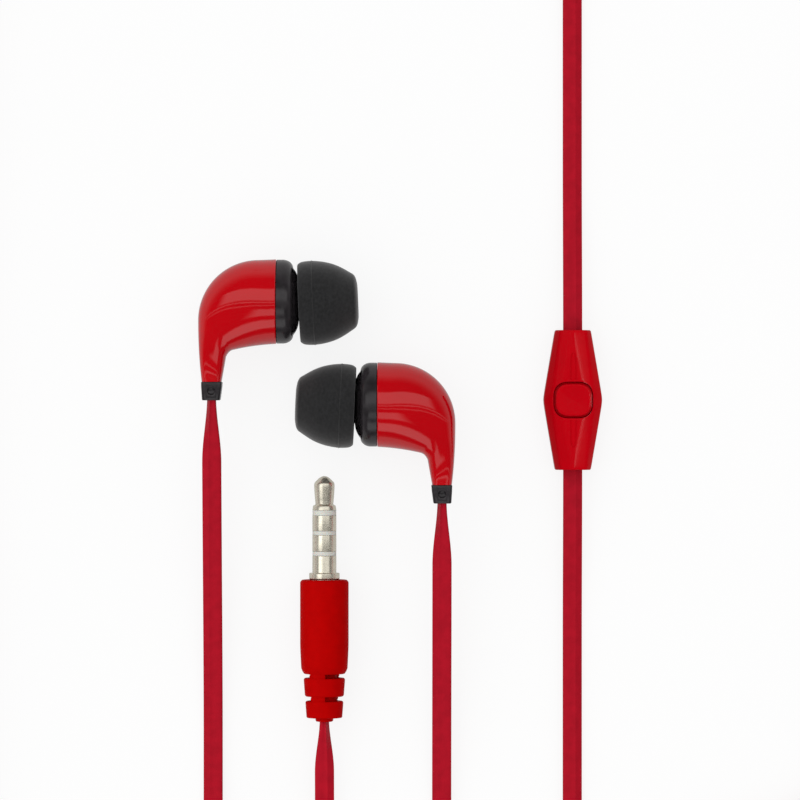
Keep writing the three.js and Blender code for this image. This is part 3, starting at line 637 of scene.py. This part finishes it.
class Trail:
    """A cable's course on the table: each station is a point in millimetres, a roll in degrees and a pinch.

    A pinch of 1 narrows the flat cable to its thickness and thickens it to its width, as in a tight collar.
    """

    def __init__(self, x, y, heading, z, roll):
        self.heading = math.radians(heading)
        self.stations = [(Vector((x, y, z)), roll, 0)]

    @property
    def at(self):
        return self.stations[-1][0]

    @property
    def roll(self):
        return self.stations[-1][1]

    def left(self):
        return Vector((-math.sin(self.heading), math.cos(self.heading), 0))

    def run(self, distance, z=None, roll=None, steps=1):
        start, start_roll, pinch = self.stations[-1]
        end_z = start.z if z is None else z
        end_roll = start_roll if roll is None else roll
        forward = Vector((math.cos(self.heading), math.sin(self.heading), 0))
        for i in range(1, steps + 1):
            share = i / steps
            eased = smoothstep(share, 0, 1)
            point = start + forward * distance * share
            point.z = lerp(start.z, end_z, eased)
            self.stations.append((point, lerp(start_roll, end_roll, eased), pinch))

    def bend(self, radius, degrees):
        side = math.copysign(1, degrees)
        steps = math.ceil(abs(degrees) / BEND_STEP)
        start = self.at.copy()
        arm = self.left() * radius * side
        centre = start + arm
        for i in range(1, steps + 1):
            turn = Matrix.Rotation(math.radians(degrees * i / steps), 3, "Z")
            self.stations.append((centre - turn @ arm, self.roll, 0))
        self.heading += math.radians(degrees)

    def spiral(self, centre, radius, direction, turns, spacing):
        offset = self.at - centre
        angle = math.atan2(offset.y, offset.x)
        height, roll = self.at.z, self.roll
        for i in range(1, round(turns * 360 / BEND_STEP) + 1):
            turn = math.radians(i * BEND_STEP)
            r = radius - direction * spacing * turn / math.pi
            a = angle + direction * turn
            point = Vector((centre.x + r * math.cos(a), centre.y + r * math.sin(a), height))
            self.stations.append((point, roll, 0))
        self.heading += direction * turns * 2 * math.pi

    def coil(self, turns, spacing, inner_radius):
        outer_radius = inner_radius + 2 * turns * spacing
        centre = self.at + self.left() * outer_radius
        self.spiral(centre, outer_radius, 1, turns, spacing)
        self.bend(inner_radius / 2, 180)
        self.bend(inner_radius / 2, -180)
        self.spiral(centre, inner_radius, -1, turns, spacing)

    def mesh(self):
        section = cable_section()
        loops = []
        for i, (point, roll, pinch) in enumerate(self.stations):
            ahead = self.stations[min(i + 1, len(self.stations) - 1)][0]
            behind = self.stations[max(i - 1, 0)][0]
            forward = (ahead - behind).normalized()
            side = Vector((0, 0, 1)).cross(forward).normalized()
            up = forward.cross(side)
            turn = math.radians(roll)
            across = side * math.cos(turn) + up * math.sin(turn)
            through = up * math.cos(turn) - side * math.sin(turn)
            narrow = lerp(1, CABLE_THICKNESS / CABLE_WIDTH, pinch)
            thick = lerp(1, CABLE_WIDTH / CABLE_THICKNESS, pinch)
            loops.append([tuple(point + across * a * narrow + through * t * thick) for a, t in section])
        return loft(loops)

    def piece(self, name, replaced, body=None):
        return make_piece(name, *self.mesh(), ROW_FRAME, body, "cable_red", [replaced])

    def lay(self, name, replaced):
        """A run of cable on the table. It is kept out of the housings' mirror reflections."""
        self.piece(name, replaced, "root").visible_glossy = False


# The cable's course, from an earbud to the plug
LIFT_PIVOT = 13          # from the collar to the bend that lifts the earbud
CABLE_START = 3.8        # from the barrel's axis to the cable's end in the stem
DROP_LENGTH = 50
PINCH_LENGTH = 9
FLEX_END = 30
TURN_LINE = -70          # where the strands turn back, below the picture
UPPER_LINE = 68          # where they turn towards the splitter, above the picture
REMOTE_HALF = 10.2
REMOTE_SPLIT = 2.2
REMOTE_RAMP = 25
REMOTE_CABLE_END = 7     # the cable ends this far from the remote's middle
BRANCH_RADIUS = 14
MOUTH_RADIUS = 8
CORNER_RADIUS = 18
BRANCH_SPACING = 3.2
SPLITTER_ENTRY = 3.5
COIL_TOP = -62.4
COIL_TURNS = 2.75
COIL_SPACING = 1.75
COIL_INNER_RADIUS = 10
MAIN_X = 42


def collar_exit(side):
    """Where the cable leaves the collar, from the bend's place in the record."""
    x, y, _ = (value / MM for value in JOINTS[f"{side}_ear_lift"]["pos_m"])
    return x, y + LIFT_PIVOT


def stem_height():
    return (bud_frame("left") @ Vector((STEM_CENTRE, 0, 0))).z / MM


def drop_height(distance):
    return lerp(stem_height(), FLAT_HEIGHT, smoothstep(distance, 0, DROP_LENGTH))


def bud_strand(side):
    """Stations from inside the stem down to the table, each with its distance from the collar."""
    x, exit_y = collar_exit(side)
    stations = []
    distance = CABLE_START - COLLAR_END
    while distance < exit_y - TURN_LINE - TWIST_LENGTH:
        pinch = 1 - smoothstep(distance, -0.6, PINCH_LENGTH)
        point = Vector((x, exit_y - distance, drop_height(distance)))
        stations.append((distance, (point, FLAT, pinch)))
        distance += 0.5 if distance < PINCH_LENGTH else 2.0
    return stations


def build_flex(side):
    """The stretch of cable that bends between the table and the earbud."""
    trail = Trail(0, 0, -90, 0, 0)
    trail.stations = [station for distance, station in bud_strand(side) if distance <= FLEX_END]
    piece = trail.piece(f"{side}_cable_flex", f"{side}_cable_end")
    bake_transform(piece)


def strand_below(side):
    strand = bud_strand(side)
    trail = Trail(0, 0, -90, 0, 0)
    last_flex = max(i for i, (distance, _) in enumerate(strand) if distance <= FLEX_END)
    trail.stations = [station for _, station in strand[last_flex:]]
    x, _ = collar_exit(side)
    trail.stations.append((Vector((x, TURN_LINE + TWIST_LENGTH, FLAT_HEIGHT)), FLAT, 0))
    trail.run(TWIST_LENGTH, z=EDGE_HEIGHT, roll=ON_EDGE, steps=24)
    return trail


def splitter_place():
    low, high = (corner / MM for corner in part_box("splitter_shell"))
    return (low + high) / 2, low.y, high.y


def into_splitter(trail, side):
    middle, mouth_y, _ = splitter_place()
    entry_x = middle.x + side * BRANCH_SPACING / 2
    trail.bend(BRANCH_RADIUS, side * 90)
    trail.run(abs(trail.at.x - entry_x) - MOUTH_RADIUS)
    trail.bend(MOUTH_RADIUS, -side * 90)
    trail.run(mouth_y - 0.5 - trail.at.y, z=middle.z, steps=8)
    trail.run(SPLITTER_ENTRY)


def build_left_cable():
    trail = strand_below("left")
    return_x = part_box("left_cable")[0].x / MM + CABLE_THICKNESS / 2
    trail.bend((trail.at.x - return_x) / 2, -180)
    trail.run(UPPER_LINE - TURN_LINE)
    into_splitter(trail, -1)
    trail.lay("left_cable_run", "left_cable")


def build_right_upper_cable():
    trail = strand_below("right")
    trail.bend(-trail.at.x / 2, 180)
    trail.run(TWIST_LENGTH, z=FLAT_HEIGHT, roll=FLAT, steps=24)
    trail.run(-REMOTE_HALF - REMOTE_RAMP - trail.at.y)
    trail.run(REMOTE_RAMP, z=REMOTE_SPLIT, steps=16)
    trail.run(REMOTE_HALF - REMOTE_CABLE_END)
    trail.lay("right_cable_to_remote", "right_upper_cable")


def build_right_lower_cable():
    trail = Trail(0, REMOTE_CABLE_END, 90, REMOTE_SPLIT, FLAT)
    trail.run(REMOTE_HALF - REMOTE_CABLE_END)
    trail.run(REMOTE_RAMP, z=FLAT_HEIGHT, steps=16)
    trail.run(UPPER_LINE - TWIST_LENGTH - trail.at.y)
    trail.run(TWIST_LENGTH, z=EDGE_HEIGHT, roll=ON_EDGE, steps=24)
    into_splitter(trail, 1)
    trail.lay("right_cable_from_remote", "right_lower_cable")


PLUG_FLEX = 12


def plug_pivot():
    return Vector(JOINTS["plug_flex"]["pos_m"]) / MM


def build_main_cable():
    middle, _, top_y = splitter_place()
    trail = Trail(middle.x, top_y - SPLITTER_ENTRY, 90, middle.z, ON_EDGE)
    trail.run(SPLITTER_ENTRY + 0.5)
    trail.run(5, z=EDGE_HEIGHT, steps=8)
    trail.bend(CORNER_RADIUS, -90)
    trail.run(MAIN_X - CORNER_RADIUS - trail.at.x)
    trail.bend(CORNER_RADIUS, -90)
    trail.run(trail.at.y - COIL_TOP - CORNER_RADIUS)
    trail.bend(CORNER_RADIUS, -90)
    trail.coil(COIL_TURNS, COIL_SPACING, COIL_INNER_RADIUS)
    pivot = plug_pivot()
    trail.run(trail.at.x - pivot.x - CORNER_RADIUS)
    trail.bend(CORNER_RADIUS, -90)
    trail.run(TWIST_LENGTH, z=FLAT_HEIGHT, roll=FLAT, steps=24)
    trail.run(pivot.y - PLUG_FLEX - trail.at.y, z=2, steps=12)
    trail.lay("main_cable_run", "main_cable")


def build_plug_flex():
    """The stretch of cable that bends where it leaves the plug."""
    pivot = plug_pivot()
    trail = Trail(pivot.x, pivot.y - PLUG_FLEX, 90, 2, FLAT)
    trail.run(PLUG_FLEX + 1, z=pivot.z, steps=30)
    trail.run(8, steps=8)
    trail.stations = [
        (point, FLAT, smoothstep(point.y, pivot.y - 5.5, pivot.y + 2.5)) for point, _, _ in trail.stations
    ]
    piece = trail.piece("plug_cable_flex", "plug_cable_end")
    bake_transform(piece)


# ---- remote ----

WAIST_HALF = 4.28
END_HALF = 2.62
WAIST_CROWN = 1.95       # half width of the crown at the waist and at the ends
END_CROWN = 0.32
CROWN_EDGE = 5.2
REMOTE_HEIGHT = 5.3


def remote_half_width(y):
    """Straight tapers with a slightly rounded waist."""
    soft = 0.5
    share = (math.hypot(y, soft) - soft) / (math.hypot(REMOTE_HALF, soft) - soft)
    return lerp(WAIST_HALF, END_HALF, share)


def crown_half_width(y):
    """The crown is a long kite, widest at the waist."""
    return lerp(WAIST_CROWN, END_CROWN, abs(y) / REMOTE_HALF)


def upper_section(y):
    """Half of the front casing's outline above the split: upright side, bevel and crowned top."""
    w, crown = remote_half_width(y), crown_half_width(y)
    split = REMOTE_SPLIT + 0.04
    corners = [
        (w - 0.05, split), (w, split + 0.08, 0.1), (w, 3.35, 0.35), (w * 0.72, 4.7, 0.4),
        (crown, CROWN_EDGE, 0.35), (0, REMOTE_HEIGHT),
    ]
    return rounded(corners)


def lower_section(y):
    w = remote_half_width(y)
    split = REMOTE_SPLIT - 0.02
    return rounded([(w - 0.05, split), (w, split - 0.08, 0.1), (w, 0.85, 0.5), (w * 0.8, 0.0, 0.3), (0, 0)])


def remote_half_shell(name, section, replaced):
    """A casing half from its section along Y, with its ends slightly rounded."""
    rows = 41
    ends = 0.12
    loops = []
    for i in range(rows):
        y = lerp(-REMOTE_HALF, REMOTE_HALF, i / (rows - 1))
        half = section(y)
        loops.append([(x, y, z) for x, z in half + [(-x, z) for x, z in half[-2::-1]]])
    for index, y in ((0, -REMOTE_HALF), (-1, REMOTE_HALF)):
        narrow, back = 1 - ends / END_HALF, 1 - ends / REMOTE_HALF
        inset = [(x * narrow, y, z - ends * (z - REMOTE_SPLIT) / 3) for x, _, z in loops[index]]
        loops[index] = [(x, y * back, z) for x, _, z in loops[index]]
        loops.insert(0 if index == 0 else len(loops), inset)
    return make_piece(name, *loft(loops), ROW_FRAME, None, "gloss_red", replaced, material=REMOTE_RED)


def slab(outline, bottom, top):
    return loft([[(x, y, bottom) for x, y in outline], [(x, y, top) for x, y in outline]])


def cable_slot():
    half_height = 0.74
    outline = rounded_rectangle(CABLE_WIDTH + 0.16, REMOTE_HALF * 2 + 4, 0.05)
    return slab(outline, REMOTE_SPLIT - half_height, REMOTE_SPLIT + half_height)


def build_remote():
    """Two casing halves that meet at a fine seam, open for the button, the switch and the cable."""
    front = remote_half_shell("remote_upper_casing", upper_section, ["remote_front_shell"])
    opening = slab(rounded_rectangle(5.78, 5.34, 2.25), 3.25, 7)
    carve(front, make_piece("opening_cutter", *opening, ROW_FRAME))
    switch_room = slab(rounded_rectangle(4, 4, 0.4), 2, 3.4)
    carve(front, make_piece("pocket_cutter", *switch_room, ROW_FRAME))
    carve(front, make_piece("slot_cutter", *cable_slot(), ROW_FRAME))
    soften(front, 0.12, segments=3, angle=40)
    rear = remote_half_shell("remote_lower_casing", lower_section, ["remote_rear_shell"])
    carve(rear, make_piece("slot_cutter", *cable_slot(), ROW_FRAME))
    port = turned([(-1, 0), (-1, 0.45), (0.5, 0.45), (0.5, 0)], steps=32)
    port_place = ROW_FRAME @ Matrix.Translation((0, -3.6, 0)) @ Matrix.Rotation(-math.pi / 2, 4, "Y")
    carve(rear, make_piece("port_cutter", *port, port_place))
    soften(rear, 0.06, segments=2, angle=40)
    for piece in (front, rear):
        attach(piece, "root")
    build_ribs()
    build_button()


def crown_height(x, y):
    """Height of the front casing's crowned top."""
    return lerp(REMOTE_HEIGHT, CROWN_EDGE, min(abs(x) / crown_half_width(y), 1))


def build_ribs():
    """A slender pair of ridges on the crown at each side of the button, closing at their far ends."""
    for name, near, far in (("upper", 2.95, 6.9), ("lower", -2.95, -6.8)):
        loops = []
        steps = 28
        for i in range(steps + 1):
            share = i / steps
            y = lerp(near, far, share)
            w = 0.46 * math.sqrt(max(1 - share ** 7, 0.004))
            base = crown_height(w, y)
            top = base + 0.09
            valley = base + 0.08 * smoothstep(share, 0.9, 1)
            half = [(w, base - 0.2), (w, base + 0.01), (w * 0.86, top), (w * 0.70, top), (w * 0.5, valley)]
            loops.append([(x, y, z) for x, z in half + [(-x, z) for x, z in half[::-1]]])
        make_piece(f"remote_rib_{name}", *loft(loops), ROW_FRAME, "root", "gloss_red", material=REMOTE_RED)


def build_button():
    """Push button with a soft rim and four shallow facets that fall to its middle."""
    outline = rounded_rectangle(5.14, 4.7, 2.0, steps=12)
    rim, dish = 5.32, 0.2
    flange = [(1.09, 3.65), (1.09, 4.5), (1.0, 4.56)]
    edge = [(1.0, rim - 0.26), (0.99, rim - 0.12), (0.965, rim - 0.03), (0.93, rim)]
    facets = [(0.91 * (1 - i / 16), rim - dish * i / 16) for i in range(1, 16)]
    levels = flange + edge + facets
    loops = [[(x * share, y * share, z) for x, y in outline] for share, z in levels]
    make_piece(
        "remote_push_button", *loft(loops), ROW_FRAME, "button",
        "gloss_red", ["remote_button"], sharp=25, material=REMOTE_RED,
    )


# ---- plug ----

def plug_piece(name, profile, look, node, ring=True):
    shape = turned(rounded(profile, closed=ring), ring=ring)
    make_piece(f"plug_{name}", *shape, plug_frame(), "plug", look, [f"plug_{node}"])


def build_pin():
    """The four contacts and the insulating bands between them."""
    r = 1.75
    edge = 0.05
    plug_piece("point", [
        (0, 0), (0.03, 0.28, 0.1), (0.25, 0.72, 0.2), (0.95, 1.44, 0.25), (1.35, 1.5, 0.3), (2.6, 1.44, 1.0),
        (4.12, 1.3, 0.1), (4.2, 1.42, 0.03), (4.3, 1.6, 0.05), (4.4, 1.66, 0.1), (4.97, r, edge),
        (4.97, 0.4), (17.5, 0.4), (17.5, 0),
    ], "nickel", "tip_contact", ring=False)
    bands = [
        ("band_front", 4.99, 5.73, "insulator_white", "insulator_front", 0.43, 0.0),
        ("contact_front", 5.75, 8.0, "nickel", "ring_contact_front", 0.65, edge),
        ("band_middle", 8.02, 8.58, "insulator_white", "insulator_middle", 0.87, 0.0),
        ("contact_rear", 8.6, 11.0, "nickel", "ring_contact_rear", 1.09, edge),
        ("band_rear", 11.02, 11.6, "insulator_white", "insulator_rear", 1.29, 0.0),
    ]
    for name, start, end, look, node, bore, corner in bands:
        radius = r if look == "nickel" else r - 0.015
        band = [(start, bore), (start, radius, corner), (end, radius, corner), (end, bore)]
        plug_piece(name, band, look, node)
    plug_piece("sleeve", [
        (11.63, 1.5), (11.63, r, edge), (14.13, r, 0.03), (14.15, 2.15, 0.02), (14.22, 2.22, 0.05),
        (14.95, 2.22, 0.05), (15.1, 2.1), (15.1, 1.95), (16.6, 1.95), (16.6, 1.5),
    ], "nickel", "sleeve_contact")


BARREL_START, BARREL_END = 15.15, 28.85
BARREL_RIM = 3.54
BOOT_END = 35.6
SLOTS = ((28.9, 29.45), (32.2, 32.8))
CORE_RADIUS = 1.78


def barrel_radius(x):
    """Outline of the barrel and the ribs behind it, without the slots."""
    if x < BARREL_START + 0.4:
        return BARREL_RIM - 0.3 * (1 - (x - BARREL_START) / 0.4) ** 2
    if x < BARREL_END:
        taper = BARREL_RIM - 0.18 * smoothstep(x, BARREL_START + 9, BARREL_END + 0.5)
        return taper - 0.42 * smoothstep(x, BARREL_END - 1.1, BARREL_END + 0.15) ** 2
    corner = min(abs(x - edge) for span in SLOTS for edge in span)
    rounding = 0.14 * (1 - smoothstep(corner, 0, 0.35)) ** 2
    return lerp(3.08, 2.58, (x - BARREL_END) / (BOOT_END - BARREL_END)) - rounding


def slot_depth(x, angle):
    """How far the slots cut in at a place: all round, apart from the webs above and below."""
    inside = max(
        smoothstep(x, start - 0.06, start + 0.04) * (1 - smoothstep(x, end - 0.04, end + 0.06))
        for start, end in SLOTS
    )
    from_web = min(abs((math.degrees(angle) - centre + 180) % 360 - 180) for centre in (112, 292))
    return inside * smoothstep(from_web, 24, 30)


def barrel_stops():
    """Places along the barrel for its loops: close together at the rim and over the ribs."""
    stops = [BARREL_START + step for step in (0, 0.03, 0.1, 0.22, 0.4)]
    x = BARREL_START + 0.9
    while x < BARREL_END - 0.4:
        stops.append(x)
        x += 0.6
    x = BARREL_END - 0.35
    while x < BOOT_END - 0.5:
        stops.append(x)
        x += 0.05
    return stops


def build_barrel():
    """Satin barrel with a ribbed strain relief: slots on both sides, joined by webs, and an oval lip."""
    steps = 128
    angles = [2 * math.pi * i / steps for i in range(steps)]

    def oval(x, wide, tall):
        return [(x, wide * math.cos(angle), tall * math.sin(angle)) for angle in angles]

    stops = barrel_stops()
    loops = []
    for x in stops:
        radii = [lerp(barrel_radius(x), CORE_RADIUS, slot_depth(x, angle)) for angle in angles]
        loops.append([(x, r * math.cos(angle), r * math.sin(angle)) for r, angle in zip(radii, angles)])
    last = barrel_radius(stops[-1])
    lip = [
        (0.4, last - 0.02, last - 0.02), (0.33, last - 0.12, last - 0.12), (0.3, 1.9, 2.2),
        (0.26, 1.32, 1.95), (-0.1, 1.28, 1.92), (-0.2, 1.18, 1.82), (-0.2, 0.75, 1.45),
    ]
    loops += [oval(BOOT_END - x, wide, tall) for x, wide, tall in lip]
    bore = [
        (BOOT_END - 3, 1.45), (17, 1.45), (17, 2.55), (BARREL_START + 1.6, 2.55), (BARREL_START + 1.6, 2.3),
        (BARREL_START, 2.3),
    ]
    loops += [oval(x, radius, radius) for x, radius in bore]
    make_piece(
        "plug_housing", *loft(loops, tube=True), plug_frame(), "plug",
        "satin_red", ["plug_barrel"], sharp=40,
    )


# ---- splitter ----

def build_splitter():
    """Soft-edged wedge where the two branches join, with grip lines across it. It is kept out of mirrors."""
    middle, start, end = splitter_place()
    rows = 60
    loops = []
    for i in range(rows + 1):
        share = i / rows
        y = lerp(start, end, share)
        half = lerp(3.9, 2.5, smoothstep(share, 0.35, 1.05))
        ends = min(share, 1 - share) * (end - start)
        shrink = 0.35 * (1 - smoothstep(ends, 0, 0.5)) ** 2
        groove = 0.16 * sum(math.exp(-(((y - start) - at) / 0.16) ** 2) for at in (2.0, 3.0, 4.0))
        w, top = half - shrink, middle.z * 2 - shrink - groove
        corners = [(-w, shrink, 0.7), (w, shrink, 0.7), (w, top, 0.9), (-w, top, 0.9)]
        loops.append([(middle.x + x, y, z) for x, z in rounded(corners, closed=True, steps=6)])
    piece = make_piece(
        "splitter_body", *loft(loops), ROW_FRAME, "root",
        "satin_red", ["splitter_shell"], sharp=60,
    )
    piece.visible_glossy = False


# ---- stage ----

def value_node(tree, operation, *inputs):
    made = tree.nodes.new("ShaderNodeMath")
    made.operation = operation
    for i, source in enumerate(inputs):
        if isinstance(source, (int, float)):
            made.inputs[i].default_value = source
        else:
            tree.links.new(source, made.inputs[i])
    return made.outputs["Value"]


def step_node(tree, source, low, high):
    spread = tree.nodes.new("ShaderNodeMapRange")
    spread.interpolation_type = "SMOOTHSTEP"
    spread.inputs["From Min"].default_value = low
    spread.inputs["From Max"].default_value = high
    tree.links.new(source, spread.inputs["Value"])
    return spread.outputs["Result"]


def band_node(tree, source, low, high, soft):
    rise = step_node(tree, source, low - soft, low + soft)
    fall = step_node(tree, source, high - soft, high + soft)
    return value_node(tree, "SUBTRACT", rise, fall)


def axis_nodes(tree, space):
    """The x, y and z outputs of a texture space."""
    split = tree.nodes.new("ShaderNodeSeparateXYZ")
    tree.links.new(tree.nodes.new("ShaderNodeTexCoord").outputs[space], split.inputs["Vector"])
    return [split.outputs[axis] for axis in "XYZ"]


# Bright panels in mirror reflections: tilt from and to, sideways from and to, softness, brightness.
# Angles are in degrees. Tilt is from straight up towards +Y, and sideways is from there towards +X.
PANELS = (
    (2, 34, -50, 50, 2.5, 1.0),
    (-4.2, -1.8, -86, 86, 0.5, 1.0),
    (-12, -9.8, -86, 86, 0.5, 0.7),
    (-38.5, -21, -19, 19, 2.5, 1.0),
    (-76, -51, -25, 25, 3.0, 1.15),
)
HORIZON = 0.55           # brightness of the low surroundings in mirror reflections
ROOM = 0.05              # brightness of the dim room in mirror reflections
DAYLIGHT = 1.02          # what lights everything that isn't a mirror reflection
TOWARDS_RIGHT, TOWARDS_TOP = -0.28, 0.10     # how the daylight changes across the sky


def build_world():
    """Soft white light for the surfaces; a dim room with bright panels for what they mirror."""
    world = bpy.data.worlds.new("studio")
    bpy.context.scene.world = world
    world.use_nodes = True
    world.cycles.sampling_method = "NONE"
    tree = world.node_tree
    x, y, z = axis_nodes(tree, "Generated")
    tilt = value_node(tree, "DEGREES", value_node(tree, "ARCTAN2", y, z))
    squares = [value_node(tree, "MULTIPLY", part, part) for part in (y, z)]
    upright = value_node(tree, "SQRT", value_node(tree, "ADD", *squares))
    sideways = value_node(tree, "DEGREES", value_node(tree, "ARCTAN2", x, upright))
    low_down = value_node(tree, "SUBTRACT", 1.0, step_node(tree, z, -0.05, 0.5))
    mirrored = value_node(tree, "MULTIPLY", low_down, step_node(tree, y, -0.75, -0.2))
    mirrored = value_node(tree, "MULTIPLY", mirrored, HORIZON)
    for low, high, left, right, soft, bright in PANELS:
        bands = band_node(tree, tilt, low, high, soft), band_node(tree, sideways, left, right, 5)
        panel = value_node(tree, "MULTIPLY", *bands)
        mirrored = value_node(tree, "MAXIMUM", mirrored, value_node(tree, "MULTIPLY", panel, bright))
    mirrored = value_node(tree, "ADD", mirrored, ROOM)
    across = value_node(tree, "MULTIPLY", x, TOWARDS_RIGHT)
    up = value_node(tree, "MULTIPLY", y, TOWARDS_TOP)
    lit = value_node(tree, "ADD", value_node(tree, "ADD", across, up), DAYLIGHT)
    glossy = tree.nodes.new("ShaderNodeLightPath").outputs["Is Glossy Ray"]
    others = value_node(tree, "SUBTRACT", 1.0, glossy)
    shares = value_node(tree, "MULTIPLY", glossy, mirrored), value_node(tree, "MULTIPLY", others, lit)
    strength = value_node(tree, "ADD", *shares)
    background = tree.nodes["Background"]
    background.inputs["Color"].default_value = (1, 1, 1, 1)
    tree.links.new(strength, background.inputs["Strength"])


def build_floor():
    """White paper for the camera. It gives back less light, and mirrors show it dark beyond its near edge."""
    shown_white, bounce, gloss = 0.845, 0.3, HORIZON - 0.1
    half, drop = 3.0, -0.00002
    mesh = bpy.data.meshes.new("floor")
    corners = [(x * half, y * half, drop) for x, y in ((-1, -1), (1, -1), (1, 1), (-1, 1))]
    mesh.from_pydata(corners, [], [(0, 1, 2, 3)])
    floor = add_object("floor", mesh)
    paper = Shader("white_paper", (0.14, 0.14, 0.14), 1.0)
    paper.set(Specular_IOR_Level=0.0, Emission_Color=(1, 1, 1, 1))
    tree = paper.tree
    _, y, _ = axis_nodes(tree, "Object")
    mirrored = value_node(tree, "MULTIPLY", step_node(tree, y, -0.13, -0.06), gloss)
    path = tree.nodes.new("ShaderNodeLightPath")
    shown = value_node(tree, "MULTIPLY", path.outputs["Is Camera Ray"], shown_white)
    bounced = value_node(tree, "MULTIPLY", path.outputs["Is Diffuse Ray"], bounce)
    mirrored = value_node(tree, "MULTIPLY", path.outputs["Is Glossy Ray"], mirrored)
    strength = value_node(tree, "ADD", value_node(tree, "ADD", shown, bounced), mirrored)
    paper.link(strength, paper.surface.inputs["Emission Strength"])
    paper.material.cycles.emission_sampling = "NONE"
    mesh.materials.append(paper.material)


# Panels overhead: a name, the start of its pieces' names, its place from them, its size and its brightness.
ACCENTS = (
    ("remote_accent", "remote_", (0.20, 0, 0.35), (0.06, 0.2), 14.0),
    ("pin_accent", "plug_", (-0.28, 0, 0.34), (0.16, 0.3), 1.2),
)


def pieces_named(start):
    return [o for o in bpy.data.objects if o.type == "MESH" and o.name.startswith(start)]


def add_accent(name, pieces, place, size, brightness):
    """A long panel overhead that only some pieces mirror. It adds nothing to their matt light."""
    corners = [Vector(corner) for piece in pieces for corner in piece.bound_box]
    target = sum(corners, Vector()) / len(corners)
    data = bpy.data.lights.new(name, "AREA")
    data.shape = "RECTANGLE"
    data.size, data.size_y = size
    data.energy = math.pi * size[0] * size[1] * brightness
    data.diffuse_factor = 0.0
    lamp = add_object(name, data)
    lamp.location = target + Vector(place)
    lamp.rotation_euler = Vector(place).to_track_quat("Z", "Y").to_euler()
    lamp.visible_camera = False
    receivers = bpy.data.collections.new(f"{name}_receivers")
    for piece in pieces:
        receivers.objects.link(piece)
    lamp.light_linking.receiver_collection = receivers


PICTURE_WIDTH = 0.1168   # metres across the picture at the height of the plug's axis
PICTURE_CENTRE = (-0.02526, 0)
LENS, SENSOR = 200.0, 36.0


def build_camera():
    """Straight down from above, with a long lens."""
    data = bpy.data.cameras.new("camera")
    data.lens = LENS
    data.sensor_width = SENSOR
    camera = add_object("camera", data)
    distance = PICTURE_WIDTH * LENS / SENSOR
    camera.location = (*PICTURE_CENTRE, box_centre("plug_barrel").z + distance)
    data.clip_start, data.clip_end = 0.01, 20
    bpy.context.scene.camera = camera
    bpy.context.scene.view_settings.view_transform = "Standard"


# ---- assembly ----
dress_cad_nodes()
for side in SIDES:
    build_housing(side)
    build_front_ring(side)
    build_tip(side)
    build_collar(side)
    build_flex(side)
build_left_cable()
build_right_upper_cable()
build_right_lower_cable()
build_main_cable()
build_plug_flex()
build_remote()
build_pin()
build_barrel()
build_splitter()
build_world()
build_floor()
build_camera()
for name, start, place, size, brightness in ACCENTS:
    add_accent(name, pieces_named(start), place, size, brightness)
